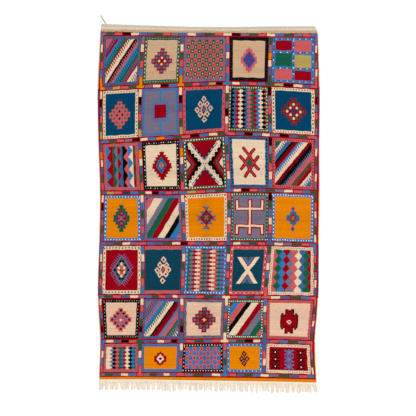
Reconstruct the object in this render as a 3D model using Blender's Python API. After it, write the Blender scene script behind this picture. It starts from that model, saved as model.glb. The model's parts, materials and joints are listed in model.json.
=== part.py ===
"""A brocaded kilim lying flat: woven field, plaited heading with its loose end, warp fringe.

Run it with: blender --background --python part.py

Metres, +Z up. +Y points to the plaited heading and +X to the right, as seen from above.
The underside is the plane z = 0, and the origin is under the middle of the kilim.
"""

import math
from collections import namedtuple

import bmesh
import bpy
import numpy as np
from mathutils import Vector

CM = 0.01
MM = 0.001

# Driving sizes of the cloth
GROUND_THICKNESS = 3.2 * MM
SELVEDGE_RISE = 0.5 * MM
BLOCK_RISE = 1.3 * MM
FRAME_RISE = 1.1 * MM
PATTERN_RISE = 0.9 * MM
MEDALLION_RISE = 1.2 * MM
CLOTH_GAP = 0.4 * MM

# Slight unevenness of the face: its height, and two waves in radians for each metre
UNEVENNESS = 0.2 * MM
Wave = namedtuple("Wave", "across upward")
UNEVEN_WAVES = (Wave(20.0, 3.0), Wave(-5.0, 14.0))

# Distances from the middle of a block strip to the red line beside it, to the top of a
# panel's frame and to the frame's inner side
LINE_OFFSET = 1.4 * CM
FRAME_OFFSET = 2.6 * CM
INNER_OFFSET = 3.9 * CM

# Plaited heading
PLAIT_WIDTH = 14 * MM
PLAIT_HEIGHT = 6 * MM
PLAIT_PITCH = 14 * MM
PLAIT_NOTCH = 0.84
PLAIT_SWAY = 0.6 * MM
PLAIT_INSET = 0.2 * CM

# Half an oval with a flat base, in shares of the plait's width and height
ProfilePoint = namedtuple("ProfilePoint", "across up")
PLAIT_PROFILE = (
    ProfilePoint(-0.5, 0.0),
    ProfilePoint(-0.46, 0.6),
    ProfilePoint(-0.2, 1.0),
    ProfilePoint(0.2, 1.0),
    ProfilePoint(0.46, 0.6),
    ProfilePoint(0.5, 0.0),
)

# Loose end of the plait
CORD_DIAMETER = 5 * MM
CORD_STEP = 11 * MM
CORD_ROUNDING = 3
CORD_GAP = 0.3 * MM
CORD_LOBE = 2

# Warp fringe
ROOT_STRIP_WIDTH = 9 * MM
ROOT_STRIP_HEIGHT = 3.5 * MM
LOCKS = 84
LOCK_FILL = 0.62
LOCK_LENGTH = 66 * MM
LOCK_LENGTH_SPREAD = 8 * MM
LOCK_LEAN = 2.0 * MM
LOCK_PAIRING = 4.0 * MM
LOCK_SPLAY = 14 * MM
SPLAY_POWER = 9
SEED = 7

# Sections of a lock, in shares of its length, of its sideways moves and of its root's size
LockSection = namedtuple("LockSection", "down lean pairing splay width height")
LOCK_SECTIONS = (
    LockSection(0.35, 0.7, 0.4, 0.4, 0.95, 1.15),
    LockSection(0.75, 1.0, 0.8, 0.8, 0.7, 1.0),
    LockSection(1.0, 0.5, 1.0, 1.0, 0.45, 0.6),
)

# Where the crosswise lines meet the lengthwise block strips a to f, in centimetres from
# the middle of the cloth. The heading line is the cloth's upper edge, lines 0 to 7 are the
# middles of the crosswise block strips, and the foot line is the orange band's lower edge.
Line = namedtuple("Line", "name left a b c d e f right")
ACROSS_CM = (
    Line("heading", -72.9, -72.2, -44.2, -17.4, 13.1, 42.4, 72.9, 73.8),
    Line("line 0", -73.4, -72.4, -44.3, -17.5, 13.1, 42.3, 73.2, 74.4),
    Line("line 1", -75.2, -73.2, -46.2, -18.9, 12.9, 41.5, 73.5, 75.5),
    Line("line 2", -74.7, -73.1, -46.6, -18.6, 12.3, 42.0, 73.5, 75.3),
    Line("line 3", -73.7, -72.1, -45.2, -17.7, 13.9, 42.0, 73.0, 75.4),
    Line("line 4", -74.2, -72.8, -44.7, -16.7, 13.7, 41.5, 72.7, 74.9),
    Line("line 5", -75.1, -73.6, -45.0, -18.0, 12.3, 38.7, 72.7, 74.6),
    Line("line 6", -73.6, -72.2, -46.5, -18.4, 11.1, 38.2, 70.2, 72.5),
    Line("line 7", -74.2, -73.1, -46.6, -19.4, 11.2, 37.7, 71.2, 73.2),
    Line("foot", -74.1, -73.0, -46.6, -19.4, 11.2, 37.7, 71.4, 73.4),
)
UPWARD_CM = (
    Line("heading", 120.4, 120.6, 119.6, 118.8, 118.5, 118.9, 119.0, 117.8),
    Line("line 0", 115.5, 115.5, 115.3, 115.1, 115.0, 114.6, 114.4, 114.4),
    Line("line 1", 77.9, 78.0, 79.4, 80.6, 81.7, 81.0, 79.2, 79.1),
    Line("line 2", 41.7, 41.8, 43.5, 45.3, 47.5, 46.6, 44.8, 44.7),
    Line("line 3", 7.3, 7.3, 7.3, 7.5, 9.0, 8.9, 7.5, 7.4),
    Line("line 4", -27.3, -27.3, -27.2, -27.1, -27.1, -27.3, -28.2, -28.3),
    Line("line 5", -63.2, -63.2, -63.2, -63.2, -63.6, -63.7, -64.3, -64.3),
    Line("line 6", -93.7, -93.7, -93.6, -93.6, -93.4, -93.5, -94.5, -94.6),
    Line("line 7", -116.3, -116.3, -116.3, -116.3, -116.5, -116.8, -117.8, -117.9),
    Line("foot", -119.5, -119.5, -119.4, -119.9, -120.4, -120.8, -121.5, -121.6),
)

# The column and the row on which the sizes of the cells are read
MIDDLE = 4

# Panels by row from the heading: B is brocaded all over, M has a plain ground with a
# raised medallion in its middle
PANELS = ("BMBMB", "MMBBM", "BMMMB", "MBMMM", "MMBMB", "MBMBM", "BMBMB")

# Soft folds that a folded kilim keeps: where each runs, how deep and how wide it is
Fold = namedtuple("Fold", "axis place_cm depth_mm width_cm")
FOLDS = (
    Fold("lengthwise", -1.7, 1.1, 4.0),
    Fold("crosswise", 65.3, 0.7, 5.0),
    Fold("crosswise", 21.4, 0.7, 5.0),
    Fold("crosswise", -9.2, 0.7, 5.0),
    Fold("crosswise", -75.8, 0.7, 5.0),
)

# The loose end's route, in centimetres from its start on the side of a plait lobe
CordPoint = namedtuple("CordPoint", "across upward")
CORD_ROUTE_CM = (
    CordPoint(0.0, 0.0),
    CordPoint(-0.4, 1.3),
    CordPoint(-1.5, 2.8),
    CordPoint(-2.5, 4.3),
    CordPoint(-3.0, 5.9),
)

# Colours in linear light, with the roughness of each yarn
Yarn = namedtuple("Yarn", "colour roughness")
WOOL = Yarn((0.36, 0.02, 0.03, 1.0), 0.92)
COTTON = Yarn((0.72, 0.66, 0.54, 1.0), 0.9)
CORD_COTTON = Yarn((0.62, 0.58, 0.5, 1.0), 0.9)
FRINGE_COTTON = Yarn((0.8, 0.73, 0.62, 1.0), 0.9)


def clear_scene():
    for obj in list(bpy.data.objects):
        bpy.data.objects.remove(obj)


def make_collection(name):
    collection = bpy.data.collections.new(name)
    bpy.context.scene.collection.children.link(collection)
    return collection


def yarn_material(name, yarn):
    material = bpy.data.materials.new(name)
    material.use_nodes = True
    shader = material.node_tree.nodes["Principled BSDF"]
    shader.inputs["Base Color"].default_value = yarn.colour
    shader.inputs["Roughness"].default_value = yarn.roughness
    shader.inputs["Metallic"].default_value = 0.0
    return material


def add_object(name, data, collection, yarn):
    obj = bpy.data.objects.new(name, data)
    data.materials.append(yarn_material(name + "_yarn", yarn))
    collection.objects.link(obj)
    return obj


def mesh_from(bm, name):
    bmesh.ops.recalc_face_normals(bm, faces=bm.faces[:])
    mesh = bpy.data.meshes.new(name)
    bm.to_mesh(mesh)
    bm.free()
    return mesh


def smooth_value(values, place):
    """A smooth curve through evenly numbered values, straight in its two end spans."""
    last = len(values) - 1
    span = min(int(place), last - 1)
    part = place - span
    start, end = values[span], values[span + 1]
    if span in (0, last - 1):
        return start + (end - start) * part
    before = values[span - 1] if span > 1 else start
    after = values[span + 2] if span < last - 2 else end
    leave, arrive = (end - before) / 2, (after - start) / 2
    square, cube = part * part, part * part * part
    return (
        start * (2 * cube - 3 * square + 1)
        + end * (3 * square - 2 * cube)
        + leave * (cube - 2 * square + part)
        + arrive * (cube - square)
    )


def table_value(table, column, row):
    return smooth_value([smooth_value(line[1:], column) for line in table], row) * CM


def cloth_point(column, row):
    """Metres across and upward of a place given in lattice columns and rows."""
    return table_value(ACROSS_CM, column, row), table_value(UPWARD_CM, column, row)


def stations(first_strip, last_strip, cell_size, first, last):
    """Places of the weave's ridges and grooves between two edges, each with its kind."""
    found = list(first)
    offsets = ((LINE_OFFSET, "line"), (FRAME_OFFSET, "frame"), (INNER_OFFSET, "inner"))
    for strip in range(first_strip, last_strip):
        size = cell_size(strip)
        found.append((strip, "block"))
        found += [(strip + offset / size, kind) for offset, kind in offsets]
        found.append((strip + 0.5, "middle"))
        found += [(strip + 1 - offset / size, kind) for offset, kind in reversed(offsets)]
    found.append((last_strip, "block"))
    return found + list(last)


def column_stations():
    def width(strip):
        return cloth_point(strip + 1, MIDDLE)[0] - cloth_point(strip, MIDDLE)[0]

    return stations(1, 6, width, [(0, "selvedge")], [(7, "selvedge")])


def row_stations():
    def height(line):
        return cloth_point(MIDDLE, line)[1] - cloth_point(MIDDLE, line + 1)[1]

    heading = [(0, "band"), (0.5, "band"), (1 - LINE_OFFSET / height(0), "band")]
    foot = [(8 + LINE_OFFSET / height(8), "band"), (9, "band")]
    return stations(1, 8, height, heading, foot)


def rise(column, column_kind, row, row_kind):
    """How far the face stands above the plain ground at a station."""
    kinds = (column_kind, row_kind)
    if "band" in kinds:
        return 0.0
    if "selvedge" in kinds:
        return SELVEDGE_RISE
    if "block" in kinds:
        return BLOCK_RISE
    if "line" in kinds:
        return 0.0
    if "frame" in kinds:
        return FRAME_RISE
    brocaded = PANELS[int(row) - 1][int(column) - 1] == "B"
    if brocaded:
        return PATTERN_RISE
    return 0.0 if "inner" in kinds else MEDALLION_RISE


def fold_depth(x, y):
    depth = 0.0
    for fold in FOLDS:
        distance = (x if fold.axis == "lengthwise" else y) - fold.place_cm * CM
        depth += fold.depth_mm * MM * math.exp(-((distance / (fold.width_cm * CM)) ** 2))
    return depth


def unevenness(x, y):
    height = UNEVENNESS
    for wave in UNEVEN_WAVES:
        height *= math.sin(wave.across * x + wave.upward * y)
    return height


def field_mesh(columns, rows):
    """The face as a grid on the weave's stations, closed by a wall and a flat underside."""
    bm = bmesh.new()
    bmesh.ops.create_grid(
        bm, x_segments=len(columns) - 1, y_segments=len(rows) - 1, size=1
    )
    for vert in bm.verts:
        column, column_kind = columns[round((vert.co.x + 1) / 2 * (len(columns) - 1))]
        row, row_kind = rows[round((1 - vert.co.y) / 2 * (len(rows) - 1))]
        x, y = cloth_point(column, row)
        lift = rise(column, column_kind, row, row_kind)
        z = GROUND_THICKNESS + lift - fold_depth(x, y) + unevenness(x, y)
        vert.co = (x, y, z)
    rim = [edge for edge in bm.edges if edge.is_boundary]
    wall = bmesh.ops.extrude_edge_only(bm, edges=rim)["geom"]
    for vert in (item for item in wall if isinstance(item, bmesh.types.BMVert)):
        vert.co.z = 0.0
    foot_rim = [edge for edge in bm.edges if edge.is_boundary]
    bmesh.ops.contextual_create(bm, geom=foot_rim)
    return mesh_from(bm, "woven_field")


def edge_line(columns, row):
    """The cloth's upper or lower edge as arrays of metres across and upward."""
    points = [cloth_point(column, row) for column, _ in columns]
    return np.array(points).T


def plait_profile(collection):
    """The plait's section, which its curve carries along the edge."""
    curve = bpy.data.curves.new("plait_profile", "CURVE")
    spline = curve.splines.new("POLY")
    spline.points.add(len(PLAIT_PROFILE) - 1)
    for point, place in zip(spline.points, PLAIT_PROFILE):
        point.co = (place.across * PLAIT_WIDTH, place.up * PLAIT_HEIGHT, 0.0, 1.0)
    spline.use_cyclic_u = True
    profile = bpy.data.objects.new("plait_profile", curve)
    profile.hide_render = True
    profile.display_type = "WIRE"
    collection.objects.link(profile)
    return profile


def plait_points(columns):
    """Middles of the plait's lobes and crossings, each with its share of the full width."""
    edge_x, edge_y = edge_line(columns, 0)
    start, end = edge_x[0] + PLAIT_INSET, edge_x[-2]
    steps = 2 * round((end - start) / PLAIT_PITCH)
    clear = PLAIT_WIDTH / 2 + PLAIT_SWAY + CLOTH_GAP
    points = []
    for k in range(steps + 1):
        x = start + (end - start) * k / steps
        sway = PLAIT_SWAY * (1 if k % 4 < 2 else -1)
        y = float(np.interp(x, edge_x, edge_y)) + clear + sway
        points.append((x, y, PLAIT_NOTCH if k % 2 else 1.0))
    return points


def plait_curve(points, profile):
    """The plaited warp ends: a row of lobes, narrower and swayed at each crossing."""
    curve = bpy.data.curves.new("heading_plait", "CURVE")
    curve.dimensions = "3D"
    curve.twist_mode = "Z_UP"
    curve.bevel_mode = "OBJECT"
    curve.bevel_object = profile
    curve.use_fill_caps = True
    spline = curve.splines.new("POLY")
    spline.points.add(len(points) - 1)
    for point, (x, y, radius) in zip(spline.points, points):
        point.co = (x, y, 0.0, 1.0)
        point.radius = radius
    return curve


def cord_curve(points):
    """The loose end as a round tube, on a smooth curve from the side of a plait lobe."""
    lobe_x, lobe_y, _ = points[2 * CORD_LOBE]
    start = Vector((lobe_x, lobe_y + PLAIT_WIDTH / 2 + CORD_GAP))
    route = [start + Vector((p.across * CM, p.upward * CM)) for p in CORD_ROUTE_CM]
    length = sum((b - a).length for a, b in zip(route, route[1:]))
    steps = round(length / CORD_STEP)
    guides = [route[0], *route, route[-1]]
    curve = bpy.data.curves.new("corner_cord", "CURVE")
    curve.dimensions = "3D"
    curve.bevel_depth = CORD_DIAMETER / 2
    curve.bevel_resolution = CORD_ROUNDING
    curve.use_fill_caps = True
    spline = curve.splines.new("POLY")
    spline.points.add(steps)
    for k, point in enumerate(spline.points):
        place = 1 + k / steps * (len(route) - 1)
        x = smooth_value([guide.x for guide in guides], min(place, len(route)))
        y = smooth_value([guide.y for guide in guides], min(place, len(route)))
        point.co = (x, y, CORD_DIAMETER / 2, 1.0)
    return curve


def lock_sections(rng, index):
    """Sections of one lock from root to tip: how far down, sideways, how wide and high.

    Two neighbours close in on each other, and the end locks splay past the corners.
    """
    length = LOCK_LENGTH + LOCK_LENGTH_SPREAD * rng.uniform(-1, 1)
    splay = LOCK_SPLAY * (2 * (index + 0.5) / LOCKS - 1) ** SPLAY_POWER
    pairing = LOCK_PAIRING * (1 - 2 * (index % 2)) * rng.uniform(0, 1)
    lean = LOCK_LEAN * rng.uniform(-1, 1)
    found = []
    for part in LOCK_SECTIONS:
        aside = lean * part.lean + pairing * part.pairing + splay * part.splay
        found.append((length * part.down, aside, part.width, part.height))
    return found


def fringe_mesh(columns):
    """A narrow root strip along the foot, with a lock drawn out of every other face."""
    edge_x, edge_y = edge_line(columns, 9)
    rng = np.random.default_rng(SEED)
    spans = 2 * LOCKS + 1
    pitch = (edge_x[-1] - edge_x[0]) / LOCKS
    gap = pitch * (1 - LOCK_FILL)

    def station(k):
        return edge_x[0] + gap / 2 + pitch * (k // 2) + (pitch - gap) * (k % 2)

    bm = bmesh.new()
    bmesh.ops.create_grid(bm, x_segments=spans, y_segments=1, size=1)
    for vert in bm.verts:
        index = round((vert.co.x + 1) / 2 * spans)
        outer = vert.co.y < 0
        x = edge_x[0] if index == 0 else edge_x[-1] if index == spans else station(index - 1)
        y = float(np.interp(x, edge_x, edge_y)) - CLOTH_GAP
        vert.co = (x, y - ROOT_STRIP_WIDTH if outer else y, 0.0)
    raised = bmesh.ops.extrude_face_region(bm, geom=bm.faces[:], use_keep_orig=True)["geom"]
    for vert in (item for item in raised if isinstance(item, bmesh.types.BMVert)):
        vert.co.z = ROOT_STRIP_HEIGHT
    bmesh.ops.recalc_face_normals(bm, faces=bm.faces[:])
    outward = [face for face in bm.faces if face.normal.y < -0.9]
    outward.sort(key=lambda face: face.calc_center_median().x)
    for k, face in enumerate(outward[1::2]):
        draw_out_lock(bm, face, lock_sections(rng, k))
    return mesh_from(bm, "warp_fringe")


def draw_out_lock(bm, face, sections):
    root = face.calc_center_median()
    corners = [(v.co.x - root.x, v.co.z, v.co.y) for v in face.verts]
    for down, aside, width, height in sections:
        face = bmesh.ops.extrude_discrete_faces(bm, faces=[face])["faces"][0]
        for vert, (across, up, y) in zip(face.verts, corners):
            vert.co = (root.x + aside + across * width, y - down, up * height)


def centre_on_origin(fixed, cords):
    """Moves the kilim so that the origin is under the middle of its outline."""
    bpy.context.view_layer.update()
    corners = [obj.matrix_world @ Vector(c) for obj in fixed for c in obj.bound_box]
    for axis in (0, 1):
        values = [corner[axis] for corner in corners]
        middle = (min(values) + max(values)) / 2
        for obj in fixed + cords:
            obj.location[axis] -= middle


def main():
    clear_scene()
    kilim = make_collection("kilim")
    guides = make_collection("guides")
    columns = column_stations()
    rows = row_stations()
    profile = plait_profile(guides)
    plaiting = plait_points(columns)
    field = add_object("woven_field", field_mesh(columns, rows), kilim, WOOL)
    plait = add_object("heading_plait", plait_curve(plaiting, profile), kilim, COTTON)
    cord = add_object("corner_cord", cord_curve(plaiting), kilim, CORD_COTTON)
    fringe = add_object("warp_fringe", fringe_mesh(columns), kilim, FRINGE_COTTON)
    centre_on_origin([field, plait, fringe], [cord])


main()
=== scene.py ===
"""A panelled kilim, face up on a pale floor, seen from straight above.

The cloth is one weave. Its thirty-five panels are charted in stitches, and each is a thin
raised sheet of brocade on the ground cloth, and so are the strips of blocks between them.
Lengths are in metres unless a name says otherwise. +Y points to the plaited heading.
"""

import json
import math
from collections import namedtuple

import bpy
import numpy as np
from bpy.props import FloatProperty, FloatVectorProperty, IntProperty, PointerProperty
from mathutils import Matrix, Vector

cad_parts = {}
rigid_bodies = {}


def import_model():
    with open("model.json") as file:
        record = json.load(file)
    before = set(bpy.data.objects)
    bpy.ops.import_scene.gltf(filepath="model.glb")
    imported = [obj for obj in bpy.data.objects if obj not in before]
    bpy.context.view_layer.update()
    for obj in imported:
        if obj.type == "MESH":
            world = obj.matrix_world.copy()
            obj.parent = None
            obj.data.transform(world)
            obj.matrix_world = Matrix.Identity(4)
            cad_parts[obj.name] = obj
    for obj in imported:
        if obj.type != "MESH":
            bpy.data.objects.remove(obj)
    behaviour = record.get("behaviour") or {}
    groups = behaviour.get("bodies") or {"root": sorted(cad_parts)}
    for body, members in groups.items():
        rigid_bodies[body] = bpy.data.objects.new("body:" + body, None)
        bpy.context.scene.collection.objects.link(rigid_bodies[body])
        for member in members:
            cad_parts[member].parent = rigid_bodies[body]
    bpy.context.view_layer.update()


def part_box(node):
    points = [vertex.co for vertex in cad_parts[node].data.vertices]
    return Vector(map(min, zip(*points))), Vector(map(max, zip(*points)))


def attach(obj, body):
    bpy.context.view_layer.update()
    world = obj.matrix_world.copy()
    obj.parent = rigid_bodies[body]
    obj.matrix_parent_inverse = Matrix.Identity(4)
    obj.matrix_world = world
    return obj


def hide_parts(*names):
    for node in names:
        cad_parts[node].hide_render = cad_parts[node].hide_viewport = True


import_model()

bl_info = {
    "name": "Panelled Kilim",
    "version": (1, 0, 0),
    "blender": (4, 5, 0),
    "location": "3D View > Sidebar > Kilim",
    "description": "Weaves a brocaded kilim with a plaited heading and a warp fringe",
    "category": "Object",
}

CM = 0.01
MM = 0.001
BODY = "root"
BAKE_MAP = "OFBake"

# A mark is the unit of the charts and of the photograph's frame
MARK = 6.8 * MM

# Where the crosswise lines meet the lengthwise block strips a to f, in centimetres from
# the middle of the cloth, as the solid cloth has them
Line = namedtuple("Line", "name left a b c d e f right")
ACROSS_CM = (
    Line("heading", -72.9, -72.2, -44.2, -17.4, 13.1, 42.4, 72.9, 73.8),
    Line("line 0", -73.4, -72.4, -44.3, -17.5, 13.1, 42.3, 73.2, 74.4),
    Line("line 1", -75.2, -73.2, -46.2, -18.9, 12.9, 41.5, 73.5, 75.5),
    Line("line 2", -74.7, -73.1, -46.6, -18.6, 12.3, 42.0, 73.5, 75.3),
    Line("line 3", -73.7, -72.1, -45.2, -17.7, 13.9, 42.0, 73.0, 75.4),
    Line("line 4", -74.2, -72.8, -44.7, -16.7, 13.7, 41.5, 72.7, 74.9),
    Line("line 5", -75.1, -73.6, -45.0, -18.0, 12.3, 38.7, 72.7, 74.6),
    Line("line 6", -73.6, -72.2, -46.5, -18.4, 11.1, 38.2, 70.2, 72.5),
    Line("line 7", -74.2, -73.1, -46.6, -19.4, 11.2, 37.7, 71.2, 73.2),
    Line("foot", -74.1, -73.0, -46.6, -19.4, 11.2, 37.7, 71.4, 73.4),
)
UPWARD_CM = (
    Line("heading", 120.4, 120.6, 119.6, 118.8, 118.5, 118.9, 119.0, 117.8),
    Line("line 0", 115.5, 115.5, 115.3, 115.1, 115.0, 114.6, 114.4, 114.4),
    Line("line 1", 77.9, 78.0, 79.4, 80.6, 81.7, 81.0, 79.2, 79.1),
    Line("line 2", 41.7, 41.8, 43.5, 45.3, 47.5, 46.6, 44.8, 44.7),
    Line("line 3", 7.3, 7.3, 7.3, 7.5, 9.0, 8.9, 7.5, 7.4),
    Line("line 4", -27.3, -27.3, -27.2, -27.1, -27.1, -27.3, -28.2, -28.3),
    Line("line 5", -63.2, -63.2, -63.2, -63.2, -63.6, -63.7, -64.3, -64.3),
    Line("line 6", -93.7, -93.7, -93.6, -93.6, -93.4, -93.5, -94.5, -94.6),
    Line("line 7", -116.3, -116.3, -116.3, -116.3, -116.5, -116.8, -117.8, -117.9),
    Line("foot", -119.5, -119.5, -119.4, -119.9, -120.4, -120.8, -121.5, -121.6),
)

# Soft folds left from storing the cloth, as the solid cloth has them
Fold = namedtuple("Fold", "axis place_cm depth_mm width_cm")
FOLDS = (
    Fold("lengthwise", -1.7, 1.1, 4.0),
    Fold("crosswise", 65.3, 0.7, 5.0),
    Fold("crosswise", 21.4, 0.7, 5.0),
    Fold("crosswise", -9.2, 0.7, 5.0),
    Fold("crosswise", -75.8, 0.7, 5.0),
)

# Columns and rows of the lattice, from one edge of the cloth to the other, and steps to a
# cell where a curve is followed along it
COLUMNS, ROWS = 7, 9
EDGE_STEPS = 40
FINE_STEPS = 60

# Slight unevenness of the face: its height, and two waves in radians for each metre
UNEVENNESS = 0.2 * MM
Wave = namedtuple("Wave", "across upward")
UNEVEN_WAVES = (Wave(20, 3), Wave(-5, 14))
# Painted shade in the folds: share of its colour that yarn loses for each metre of a fold's
# depth
FOLD_PAINTED_SHADE = 120

# Dye letters used in every chart and strip
DYES = {
    "R": "crimson",
    "P": "pink",
    "C": "cream",
    "W": "beige",
    "T": "rose_beige",
    "K": "black",
    "S": "slate",
    "B": "blue",
    "U": "royal_blue",
    "N": "petrol",
    "D": "deep_petrol",
    "G": "green",
    "L": "lilac",
    "O": "orange",
    "Y": "mustard",
    "X": "cotton",
    "E": "ecru",
}

# Block strips, a letter for each block. Crosswise ones run from the left, with a space
# before each block that lies on a lengthwise strip.
CROSSWISE_BLOCKS = (
    "LGPKC BSGPL BCSGP CKLGP CBGLP B",
    "OSYPG OLCKB OGPSYK BCSPB GYKCS P",
    "BGPLK CBOSG PKBCG PSKBC LKSGP B",
    "SYPDB GCKSPL BYPLG BCKPS GLCPB G",
    "BSGCL PBSGC KPBLGP SCLGP SCLGP B",
    "BGPSC LBGPSC LBPGS CPBGL PCSGB P",
    "BCSKP GSSCLK SPGBP CLGKC SPBGL P",
    "LGSCB PLGSCB PLGSC BPSGB CLGSP B",
)
# The blocks of this one begin beside the lengthwise strips, half a block further on
OFFSET_LINE = 2
# Lengthwise ones run down from the heading, with a space at each crosswise strip
LENGTHWISE_BLOCKS = (
    "LCGPBO CKSPGY SOCSGP CKBLGS BCLGPS CPBGKS BCBP",
    "LCGPBO CKSPGY SOCSGP CBGLPS BCLGPB CPBGKS GCBP",
    "SCGPBO CKSPGY SOCSGP CBGLPS BCGLPS CPBGKS CSPB",
    "PBCSPB CGLKCP BGLPCB PGBCPS GCSPSG CBPSGC PLGB",
    "GLOCSG KLPGB KLGPCB KGBCPS GLCBGP BCLPGS SPCS",
    "BCGLCP GKBPGL BCGSCL GPCLGC BPGLCS PGLCSG PLGC",
)
# Selvedge yarns down both sides, a letter for each row of panels
SELVEDGE_DYES = "WNPODTO"
# Grounds that show on the back, a letter for each panel
BACK_DYES = ("SWPWB", "NLNGN", "RCRCK", "OGOLO", "RDPDG", "TSTCT", "KOBOR")


def dye_property(name, use, colour):
    """A colour as it is seen, not as the light that it sends back."""
    return FloatVectorProperty(
        name=name, description=use, subtype="COLOR_GAMMA", size=3, min=0, max=1, default=colour
    )


def length_property(name, use, size):
    """A length in metres."""
    return FloatProperty(name=name, description=use, unit="LENGTH", default=size)


class KilimDyes(bpy.types.PropertyGroup):
    """Yarn colours, as the eye sees them"""

    crimson: dye_property("Crimson", "Lines round blocks and panels", (0.58, 0.0, 0.075))
    pink: dye_property("Pink", "Blocks, borders and motifs", (0.785, 0.34, 0.345))
    cream: dye_property("Cream", "Blocks, borders and plain grounds", (0.89, 0.79, 0.665))
    beige: dye_property("Beige", "Plain grounds near the heading", (0.785, 0.645, 0.51))
    rose_beige: dye_property("Rose Beige", "Plain grounds near the foot", (0.89, 0.735, 0.625))
    black: dye_property("Black", "Blocks and outlines", (0.03, 0.03, 0.035))
    slate: dye_property("Slate", "Blocks and mottled borders", (0.22, 0.38, 0.54))
    blue: dye_property("Blue", "Blocks, borders and dots", (0.18, 0.46, 0.67))
    royal_blue: dye_property("Royal Blue", "One small diamond", (0.0, 0.3, 0.6))
    petrol: dye_property("Petrol", "Grounds of the second row", (0.0, 0.25, 0.385))
    deep_petrol: dye_property("Deep Petrol", "Grounds of the fifth row", (0.05, 0.24, 0.315))
    green: dye_property("Green", "Blocks, borders and motifs", (0.08, 0.345, 0.26))
    lilac: dye_property("Lilac", "Blocks and grounds", (0.45, 0.425, 0.505))
    orange: dye_property("Orange", "Foot band and plain grounds", (0.88, 0.5, 0.0))
    mustard: dye_property("Mustard", "A few blocks", (0.685, 0.59, 0.325))
    cotton: dye_property("Cotton", "Fringe and small dots", (0.97, 0.91, 0.83))
    ecru: dye_property("Ecru", "Heading, plait and cord", (0.845, 0.805, 0.73))


class KilimSizes(bpy.types.PropertyGroup):
    """Sizes of the cloth's own parts"""

    ground_thickness: length_property("Ground", "Thickness of the ground cloth", 3.2 * MM)
    stitch_width: length_property("Stitch Width", "Width of a brocade stitch", 3.1 * MM)
    stitch_height: length_property("Stitch Height", "Height of a brocade stitch", 3.4 * MM)
    side_margin: length_property("Side Margin", "Strip's middle to a panel's side", 1.4 * CM)
    end_margin: length_property("End Margin", "Strip's middle to a panel's end", 1.75 * CM)
    crosswise_half: length_property("Crosswise Half", "Half a crosswise block's width", 7.3 * MM)
    lengthwise_half: length_property("Lengthwise Half", "Half a lengthwise block", 9.0 * MM)
    strip_edge: length_property("Strip Edge", "Crimson line beside the blocks", 4 * MM)
    plait_width: length_property("Plait Width", "Width of the heading plait", 14 * MM)
    plait_height: length_property("Plait Height", "Height of the heading plait", 6 * MM)
    plait_pitch: length_property("Plait Pitch", "From lobe to lobe of the plait", 14 * MM)
    cord_diameter: length_property("Cord Diameter", "Thickness of the loose end", 5 * MM)
    lock_length: length_property("Lock Length", "Length of a fringe lock", 66 * MM)
    root_strip: length_property("Root Strip", "Width of the fringe's root strip", 9 * MM)
    yarns_in_lock: IntProperty(name="Yarns", description="Yarns in a lock", default=8)
    seed: IntProperty(name="Seed", description="Fixes the yarn variation", default=11)


def sizes():
    """The scene's own sizes, as registered by this add-on."""
    return bpy.context.scene.kilim_sizes


def dye_table():
    """Dye letters with the light that each colour sends back, by the curve of sRGB."""
    dyes = bpy.context.scene.kilim_dyes
    table = {}
    for letter, name in DYES.items():
        seen = np.array(getattr(dyes, name))
        table[letter] = np.where(seen <= 0.04045, seen / 12.92, ((seen + 0.055) / 1.055) ** 2.4)
    return table


# The cloth's lattice


def smooth_values(values, places):
    """A smooth curve through evenly numbered values, straight in its two end spans."""
    values = np.asarray(values, dtype=float)
    places = np.asarray(places, dtype=float)
    last = len(values) - 1
    span = np.clip(places.astype(int), 0, last - 1)
    shape = (-1,) + (1,) * (values.ndim - 1)
    part = (places - span).reshape(shape)
    start, end = values[span], values[span + 1]
    before = np.where((span > 1).reshape(shape), values[np.maximum(span - 1, 0)], start)
    after_is_there = (span < last - 2).reshape(shape)
    after = np.where(after_is_there, values[np.minimum(span + 2, last)], end)
    leave, arrive = (end - before) / 2, (after - start) / 2
    square, cube = part**2, part**3
    curve = start * (2 * cube - 3 * square + 1) + end * (3 * square - 2 * cube)
    curve = curve + leave * (cube - 2 * square + part) + arrive * (cube - square)
    at_end = ((span == 0) | (span == last - 1)).reshape(shape)
    return np.where(at_end, start + (end - start) * part, curve)


def table_points(columns, rows):
    """Metres across and upward for every crossing of lattice columns and rows."""
    found = []
    for table in (ACROSS_CM, UPWARD_CM):
        lines = np.array([line[1:] for line in table])
        along = smooth_values(lines.T, columns).T
        found.append(smooth_values(along, rows) * CM)
    return found


def cell_places(cells, steps):
    """Evenly spaced lattice places, so many steps to a cell."""
    return np.linspace(0, cells, cells * steps + 1)


def middle_of_table():
    """How far the frame moved the tables' points, so that its origin is in the middle."""
    low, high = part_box("woven_field")
    x, y = table_points(cell_places(COLUMNS, EDGE_STEPS), cell_places(ROWS, EDGE_STEPS))
    return (
        (low[0] + high[0] - x.min() - x.max()) / 2,
        (low[1] + high[1] - y.min() - y.max()) / 2,
    )


SHIFT_X, SHIFT_Y = middle_of_table()


def cloth_points(columns, rows):
    """Places in the frame for every crossing of lattice columns and rows."""
    x, y = table_points(columns, rows)
    return x + SHIFT_X, y + SHIFT_Y


def edge_points(row):
    """Places in the frame along the cloth's upper or lower edge."""
    x, y = cloth_points(cell_places(COLUMNS, EDGE_STEPS), [row])
    return x[0], y[0]


def fold_depth(x, y):
    """How far the soft folds lower the face."""
    depth = np.zeros_like(x)
    for fold in FOLDS:
        along = x - SHIFT_X if fold.axis == "lengthwise" else y - SHIFT_Y
        distance = (along - fold.place_cm * CM) / (fold.width_cm * CM)
        depth = depth + fold.depth_mm * MM * np.exp(-(distance**2))
    return depth


def face_height(x, y):
    """Height of the plain ground face, with its folds and slight unevenness."""
    first, second = (np.sin(wave.across * x + wave.upward * y) for wave in UNEVEN_WAVES)
    return sizes().ground_thickness + UNEVENNESS * (first * second) - fold_depth(x, y)


def painted_crease_shade(x, y):
    """Painted shade along the old folds: yarn colour darkened where the face sinks, as a crease
    falls in shade.
    """
    return 1 - FOLD_PAINTED_SHADE * fold_depth(x, y)


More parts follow.
